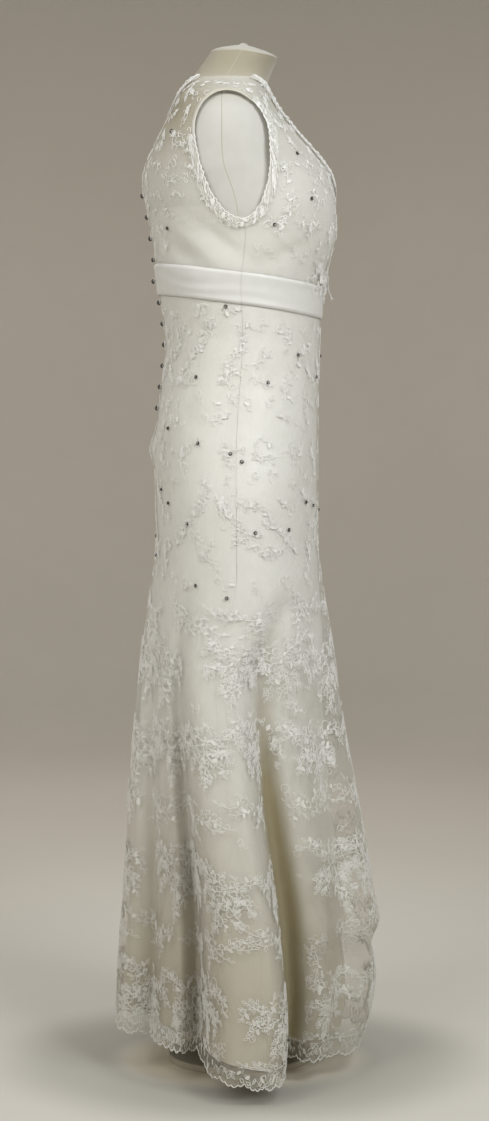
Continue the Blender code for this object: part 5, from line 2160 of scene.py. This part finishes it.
@dataclass
class NeckAndArmholeEdging:
    """Scalloped lace round the neckline and the armholes, and the armholes' satin binding."""

    front: Strip = Strip(0.019)
    back: Strip = Strip(0.015)
    arm: Strip = Strip(0.0100, 0.0005, 0.0, 0.0017, 0.5)
    scallop: float = 0.0085
    depth: float = 0.0044
    lift: float = 0.0020
    step: float = 0.0016
    cord_rise: float = 0.0011
    binding_turns: tuple[float, float] = (48, 184)
    lace_turns: tuple[float, float] = (178, 412)
    binding_width: float = 0.0062
    binding_cut: float = 0.0100
    binding_round: float = 0.0008

    def build(self) -> None:
        """Builds all the strips."""
        angle, heights = self.neck_path(FRONT_NECK_LOW, front_inner)
        angle, heights = np.concatenate([-angle[:0:-1], angle]), np.concatenate([heights[:0:-1], heights])
        self.strip("neck_edging_front", "neckline_lace_front", self.front, angle, heights, 11)
        angle, heights = self.neck_path(BACK_NECK_LOW, back_inner)
        for side, *path in (("right", angle[::-1], heights[::-1]), ("left", 360 - angle, heights)):
            self.strip(f"neck_edging_back_{side}", f"neckline_lace_back_{side}", self.back, *path, 12)
        for side in ("right", "left"):
            path = self.arm_path(side, self.lace_turns, 160)
            self.strip(f"armhole_edging_{side}", f"armhole_lace_{side}", self.arm, *path, 13)
            self.binding(side)

    @staticmethod
    def neck_path(low: float, inner: Callable) -> tuple[Array, Array]:
        """Angles and heights along the right half of the neckline, from its lowest point."""
        heights = low + (SHOULDER_TOP - low) * np.linspace(0, 1, 90) ** 2
        return np.array([inner(height) for height in heights]), heights

    @staticmethod
    def arm_path(side: str, turns: tuple[float, float], count: int) -> tuple[Array, Array]:
        """Angles and heights along one armhole."""
        angle, heights = armhole.path(*turns, count)
        return (angle, heights) if side == "right" else (360 - angle[::-1], heights[::-1])

    def strip(self, name: str, node: str, made: Strip, angle: Array, height: Array, seed: int) -> None:
        """Builds one scalloped strip with its cords and petals.

        Args:
            name: Its name.
            node: The solid that it stands for.
            made: What sets it apart.
            angle: The angles of its path.
            height: The heights of its path.
            seed: What makes its petals uneven.
        """
        angle, height, length = even_path(angle, height, self.step)
        count = max(2, round(length / self.scallop))
        wave = np.abs(np.sin(np.pi * np.linspace(0, count, len(angle))))
        sizes = np.random.default_rng(seed + 40).uniform(0.25, 1.0, count + 1)
        wave = wave * sizes[np.minimum(np.linspace(0, count, len(angle)).astype(int), count)]
        past, onto = -(made.inside + wave * self.depth * 0.5), made.width + wave * self.depth
        grid = np.array([
            beside(angle, height, past * (1 - t) + onto * t, self.lift + made.flare * wave * (1 - t) ** 2)
            for t in np.linspace(0, 1, 6)
        ])
        sheet = sewn(name, grid, YOKE_TULLE, "lace", node)
        work = LaceWork(Surface(grid, wraps=False))
        work.lay_edge(0.0, len(angle), False, made.cord_width, self.cord_rise)
        rng = np.random.default_rng(seed)
        for number in np.arange(0.5, count, made.spacing):
            column = int(number * (len(angle) / count))
            if not 4 <= column < len(angle) - 5:
                continue
            side = either_side(rng)
            turn = rng.uniform(-70, 70)
            leaf = Petal(0.0, -0.002, 90 + turn, rng.uniform(0.0070, 0.0095), 0.0036, rng.random() < 0.5)
            work.lay_petals((rng.uniform(0.8, 4.4), column), [leaf])
            curls = Motif()
            curls.tendril(0.0, 0.0, rng.uniform(0, 360), rng.uniform(0.0026, 0.0036), side * rng.uniform(200, 300))
            work.lay_motif(curls, (rng.uniform(0.6, 4.6), column))
        work.pieces(name)

    def binding(self, side: str) -> None:
        """Builds the rounded satin binding of one armhole, with painted shade along its top.

        Args:
            side: Which side.
        """
        angle, height = self.arm_path(side, self.binding_turns, 90)
        place = np.arange(len(angle))
        ends = ramp(np.minimum(place, place[::-1]), 0, 14) ** 0.5
        rows = []
        for share in np.linspace(0, 1, 7):
            out = 0.0010 + self.binding_round * math.sin(math.pi * share) * ends
            across = -0.0015 + self.binding_width * share * (0.35 + 0.65 * ends)
            rows.append(beside(angle, height, across, out))
        grid = np.array(rows)
        # Painted shade along the binding's top
        top_shade = np.tile(0.5 * ramp(height, 1.34, 0.08), (len(rows), 1))
        piece = sewn(f"armhole_satin_{side}", grid, SASH_SATIN, "satin", f"armhole_binding_{side}", top_shade)


@dataclass
class Sash:
    """The pleated satin sash over the waist seam, with a pair of leaves at the front."""

    width: float = 0.046
    lift: float = 0.0026
    rows: int = 34
    step: float = 1.5
    pleats: float = 2.4
    pleat_depth: float = 0.0008
    edge_turn: float = 0.09
    edge_drop: float = 0.0018
    leaf_top: float = 1.177
    leaf_length: float = 0.034
    leaf_half_width: float = 0.0065
    seed: int = 23
    spray_top: float = 0.055
    spray_low: float = -0.010
    spray_rows: int = 40
    spray_reach: int = 60
    sprays: tuple[tuple[int, float, MotifKind, float], ...] = (
        (24, 0.036, SPRAY, 0.80), (36, 0.030, SPRIG, 0.90), (15, 0.022, SPRAY, 0.65), (30, 0.018, SPRIG, 0.75),
        (9, 0.036, SPRIG, 0.80),
    )
    front: Cut = Cut(0.44, 0.050, 0.0215)
    back: Cut = Cut(0.23, 0.050, 0.0112)

    def build(self) -> None:
        """Builds the three stretches of the sash, the leaves and the sprays of lace."""
        for name, first, last, cut in (
            ("front", -90, 90, self.front), ("back_right", 90, 180, self.back), ("back_left", 180, 270, self.back),
        ):
            piece = sewn(f"sash_satin_{name}", self.stretch(first, last), SASH_SATIN, "satin", f"sash_{name}")
            leaves = [self.leaf(side) for side in (-1, 1)] if name == "front" else []
        self.spray()

    def spray(self) -> None:
        """Lays lace motifs over the sash's top edge on both sides of the front."""
        angle = np.arange(-self.spray_reach, self.spray_reach + 1, 1.0)
        levels = np.linspace(self.spray_top, self.spray_low, self.spray_rows)
        out = 1 - ramp(levels, 0.026, 0.012)
        grid = [dress.off(angle, sash_line(angle) + z, 0.0012 + 0.0032 * rise) for z, rise in zip(levels, out)]
        work = LaceWork(Surface(np.array(grid), wraps=False))
        rng = np.random.default_rng(self.seed)
        for turn, level, kind, size in self.sprays:
            row = (self.spray_top - level) / (self.spray_top - self.spray_low) * (self.spray_rows - 1)
            for side in (-1, 1):
                place = (row, self.spray_reach + side * turn)
                work.lay_motif(make_motif(kind, rng), place, size, side * rng.uniform(-20, 20))
        work.pieces("sash_spray")

    def stretch(self, first: float, last: float) -> Array:
        """Rows of points from the sash's top edge to its bottom one, turned in at both.

        Args:
            first: The angle at which the stretch starts.
            last: The angle at which it ends.

        Returns:
            The grid.
        """
        angle = np.linspace(first, last, round((last - first) / self.step) + 1)
        turn = np.radians(angle)
        wander = 0.35 * np.sin(2 * turn + 0.8) + 0.2 * np.sin(5 * turn)
        rows = []
        for share in np.linspace(0, 1, self.rows):
            wave = np.sin(math.tau * (self.pleats * share + wander * math.sin(math.pi * share)))
            strength = 0.55 + 0.45 * np.sin(3 * turn + 4 * share)
            edge = min(1.0, min(share, 1 - share) / self.edge_turn)
            pleat = self.pleat_depth * (0.5 + 0.5 * wave) * strength * edge
            out = self.lift - self.edge_drop * (1 - edge) ** 2 + pleat
            rows.append(dress.off(angle, sash_line(angle) + (0.5 - share) * self.width, out))
        return pulled_in(np.array(rows))

    def leaf(self, side: int) -> Piece:
        """One pointed leaf with a raised midrib.

        Args:
            side: -1 for the right one and 1 for the left one.

        Returns:
            The leaf.
        """
        share = np.linspace(0, 1, 15)
        half = np.maximum(self.leaf_half_width * np.sin(math.pi * share).clip(0, 1) ** 0.8, 0.0004)
        height = self.leaf_top - self.leaf_length * share
        rows = []
        for edge in np.linspace(-1, 1, 9):
            width = 0.009 + 0.008 * share + edge * half
            angle = np.array([dress.angle_at_width(x, z) for x, z in zip(width, height)])
            cup = 0.0010 * (1 - abs(edge)) + 0.0004 * math.cos(math.tau * edge)
            rows.append(dress.off(-side * angle, height, self.lift + 0.0010 + cup + 0.012 * share**2))
        name = "right" if side < 0 else "left"
        return sewn(f"leaf_satin_{name}", np.array(rows).transpose(1, 0, 2), SASH_SATIN, "satin", f"sash_leaf_{name}")


def facing(normal: Array) -> Array:
    """The turn that points +Z along a normal."""
    return np.array(Vector(normal).to_track_quat("Z", "Y").to_matrix())


def facets(centre: Array, normal: Array, radius: float, height: float) -> tuple[Array, Array]:
    """A cut stone: a flat table, a crown of facets and a girdle.

    Args:
        centre: The middle of its foot.
        normal: Where its table faces.
        radius: Its radius.
        height: Its height.

    Returns:
        Its points and its triangles.
    """
    ring = np.arange(8) * math.tau / 8
    points = [
        (radius * r * math.cos(a + t), radius * r * math.sin(a + t), height * h)
        for r, h, t in ((1.0, 0.0, 0.0), (1.0, 0.35, math.tau / 16), (0.50, 1.0, 0.0)) for a in ring
    ]
    placed = np.array([*points, (0.0, 0.0, height)]) @ facing(normal).T + centre
    faces = []
    for first in (0, 8):
        for k in range(8):
            a, b = first + k, first + (k + 1) % 8
            faces += [(a, b, a + 8), (b, b + 8, a + 8)]
    faces += [(16 + k, 16 + (k + 1) % 8, 24) for k in range(8)]
    return placed, np.array(faces)


@dataclass
class Crystals:
    """Dark cut stones sewn here and there on the lace, each with a painted highlight on its table."""

    radius: float = 0.0029
    height: float = 0.0026
    lift: float = 0.0010
    lift_on_sash: float = 0.0036
    sash_reach: float = 0.024
    seed: int = 3
    right: tuple[tuple[float, float], ...] = (
        (140, 1.379), (47, 1.346), (47, 1.282), (74.5, 1.243), (142, 1.241), (99.5, 1.127), (47, 1.058), (3, 1.058),
        (121.5, 1.026), (19, 1.027), (72, 1.018), (145, 0.952), (115, 0.931), (93, 0.916), (87, 0.905),
        (153.5, 0.863), (35, 0.845), (143, 0.844), (23.5, 0.839), (4, 0.830), (123.5, 0.816), (53.5, 0.807),
        (79, 0.804), (168, 0.793), (164, 0.765), (115.5, 0.728), (95, 0.711),
    )

    def build(self) -> None:
        """Builds all the stones as one mesh, the left side's a little unlike the right's."""
        rng = np.random.default_rng(self.seed)
        places = list(self.right)
        for angle, height in self.right:
            if 10 < angle < 165:
                places.append((360 - angle + rng.uniform(-9, 9), height + rng.uniform(-0.014, 0.014)))
        stones = Gathered()
        for angle, height in places:
            a, z = np.array(angle), np.array(height)
            over_sash = abs(height - sash_line(angle)) < self.sash_reach
            foot = dress.off(a, z, float(creased(a, z)) + (self.lift_on_sash if over_sash else self.lift))
            stone, sides = facets(foot, dress.normal(a, z), self.radius, self.height)
            stones.add(stone, sides)
        piece = stones.mesh("crystals", CRYSTAL.material())
        piece.data.shade_flat()
        # Each stone's table takes the painted highlight
        piece.data.materials.append(PAINTED_GLINT.material())
        tables = np.arange(len(piece.data.polygons)) % len(sides) >= len(sides) - 8
        piece.data.polygons.foreach_set("material_index", tables.astype(np.int32))
        dressed(piece, "button")


@dataclass
class BackButtons:
    """The row of round buttons down the centre back, each on its loop of cord."""

    count: int = 11
    top: float = 1.2955
    pitch: float = 0.0315
    radius: float = 0.0040
    half_thickness: float = 0.0030
    lift: float = 0.0006
    lift_on_sash: float = 0.0032
    sash_reach: float = 0.027
    rings: int = 9
    sides: int = 20
    loop_radius: float = 0.0052
    cord_width: float = 0.0014
    cord_rise: float = 0.0008

    def build(self) -> None:
        """Builds the buttons as one mesh, and their loops as another."""
        share = np.linspace(-0.98, 0.999, self.rings)
        turn = np.arange(self.sides) * math.tau / self.sides
        profile = np.sqrt(1 - share**2)
        rise = (share * self.half_thickness + self.half_thickness)[:, None]
        button = np.stack([
            np.outer(profile, np.cos(turn)) * self.radius, np.outer(profile, np.sin(turn)) * self.radius,
            np.broadcast_to(rise, (self.rings, self.sides)),
        ], axis=-1).reshape(-1, 3)
        turn = np.linspace(-0.2, math.pi + 0.2, 12)
        loop = np.stack([
            np.cos(turn) * self.loop_radius, np.sin(turn) * self.loop_radius - 0.001, turn * 0 + 0.0012,
        ], axis=-1)
        buttons, loops = Gathered(), []
        for number in range(self.count):
            height = self.top - self.pitch * number
            over_sash = abs(height - sash_line(180.0)) < self.sash_reach
            a, z = np.array(180.0), np.array(height)
            foot = dress.off(a, z, self.lift_on_sash if over_sash else self.lift)
            spin = facing(dress.normal(a, z)).T
            buttons.add(button @ spin + foot, faces_between(self.rings, self.sides, wraps=True))
            loops.append(loop @ spin + foot)
        piece = buttons.mesh("button_row", BUTTON.material())
        dressed(piece, "button", *[f"back_button_{number + 1:02d}" for number in range(self.count)])
        lines = np.array(loops)
        work = LaceWork(Surface(lines[:2], wraps=False))
        away = np.broadcast_to((0.0, 1.0, 0.0), lines.shape)
        work.lay_cords(lines, away, False, self.cord_width, self.cord_rise)
        work.pieces("button_loops", "satin")


# The room


@dataclass(frozen=True)
class Light:
    """A square soft light: where it is, what it faces, its side in metres, its watts and its colour."""

    name: str
    place: tuple[float, float, float]
    aim: tuple[float, float, float]
    size: float
    power: float
    colour: Colour

    def build(self) -> None:
        """Adds the light."""
        data = bpy.data.lights.new(self.name, "AREA")
        data.shape = "SQUARE"
        data.size, data.energy, data.color = self.size, self.power, self.colour
        lamp = bpy.data.objects.new(self.name, data)
        lamp.location = self.place
        lamp.rotation_euler = (Vector(self.aim) - Vector(self.place)).to_track_quat("-Z", "Y").to_euler()
        bpy.context.scene.collection.objects.link(lamp)


@dataclass
class Room:
    """A pale floor that sweeps up into a wall all round, soft lights and the camera."""

    floor_radius: float = 3.4
    wall_radius: float = 5.2
    wall_height: float = 4.2
    sides: int = 96
    apron_height: float = -0.006
    sky: Colour = (0.95, 0.97, 1.0)
    sky_strength: float = 0.36
    camera_place: tuple[float, float, float] = (-4.0, -0.0067, 1.0)
    camera_tilt: float = 3.53
    lens: float = 86.05
    lights: tuple[Light, ...] = (
        Light("key", (-1.9, -1.25, 2.45), (0, 0, 1.20), 1.1, 43, (0.95, 0.98, 1.0)),
        Light("fill", (-1.9, 1.3, 2.35), (0, 0, 1.15), 1.4, 29, (1.0, 0.985, 0.955)),
        Light("wall_right", (1.2, -2.6, 3.0), (4.8, -1.0, 0.6), 2.2, 20, (1.0, 0.96, 0.92)),
        Light("wall_left", (1.2, 2.6, 3.0), (4.8, 1.0, 0.6), 2.2, 28, (1.0, 0.96, 0.92)),
        Light("rim", (3.0, 0.3, 2.3), (0, 0, 1.0), 2.0, 12, (1.0, 0.98, 0.95)),
    )

    def build(self) -> None:
        """Builds the sweep, the lights and the camera."""
        bend = self.wall_radius - self.floor_radius
        turn = np.linspace(0, 1, 24) * math.pi / 2
        rise = [(self.floor_radius + bend * math.sin(t), bend * (1 - math.cos(t))) for t in turn]
        flat = [(0.0001, 0.0), (0.5, 0.0), (1.5, 0.0), (2.6, 0.0)]
        sweep = self.turned("floor_sweep", [*flat, *rise, (self.wall_radius, self.wall_height)])
        apron = self.turned("outer_floor", [(radius, self.apron_height) for radius in (3.3, 8.0, 16.0)])
        scene = bpy.context.scene
        scene.view_settings.view_transform = "Standard"
        world = bpy.data.worlds.new("studio")
        world.use_nodes = True
        background = world.node_tree.nodes["Background"]
        background.inputs["Color"].default_value = (*self.sky, 1)
        background.inputs["Strength"].default_value = self.sky_strength
        scene.world = world
        for light in self.lights:
            light.build()
        data = bpy.data.cameras.new("camera")
        data.sensor_fit, data.sensor_height, data.lens = "VERTICAL", 36, self.lens
        camera = bpy.data.objects.new("camera", data)
        camera.location = self.camera_place
        camera.rotation_euler = (math.radians(90 - self.camera_tilt), 0, math.radians(-90))
        scene.collection.objects.link(camera)
        scene.camera = camera

    def turned(self, name: str, profile: Sequence[tuple[float, float]]) -> Piece:
        """A surface turned round the upright axis, from radii and heights.

        Args:
            name: Its name.
            profile: Radii and heights, from the inside out.

        Returns:
            The piece.
        """
        angle = np.arange(self.sides) * math.tau / self.sides
        grid = np.array([[(r * math.cos(a), r * math.sin(a), z) for a in angle[::-1]] for r, z in profile])
        faces = faces_between(len(profile), self.sides, wraps=True)
        return mesh_object(name, grid.reshape(-1, 3), faces, STUDIO_SWEEP.material())


def main() -> None:
    """Builds the room, then the dress from the form outwards."""
    logging.basicConfig(level=logging.INFO, format="%(name)s: %(message)s")
    assemblies = (
        Room(), DressForm(), Stand(), SatinFoundation(), LaceOverlay(), HemEdging(), NeckAndArmholeEdging(), Sash(),
        Crystals(), BackButtons(),
    )
    for assembly in assemblies:
        assembly.build()
        log.info("%s is built", type(assembly).__name__)


if __name__ == "__main__":
    main()
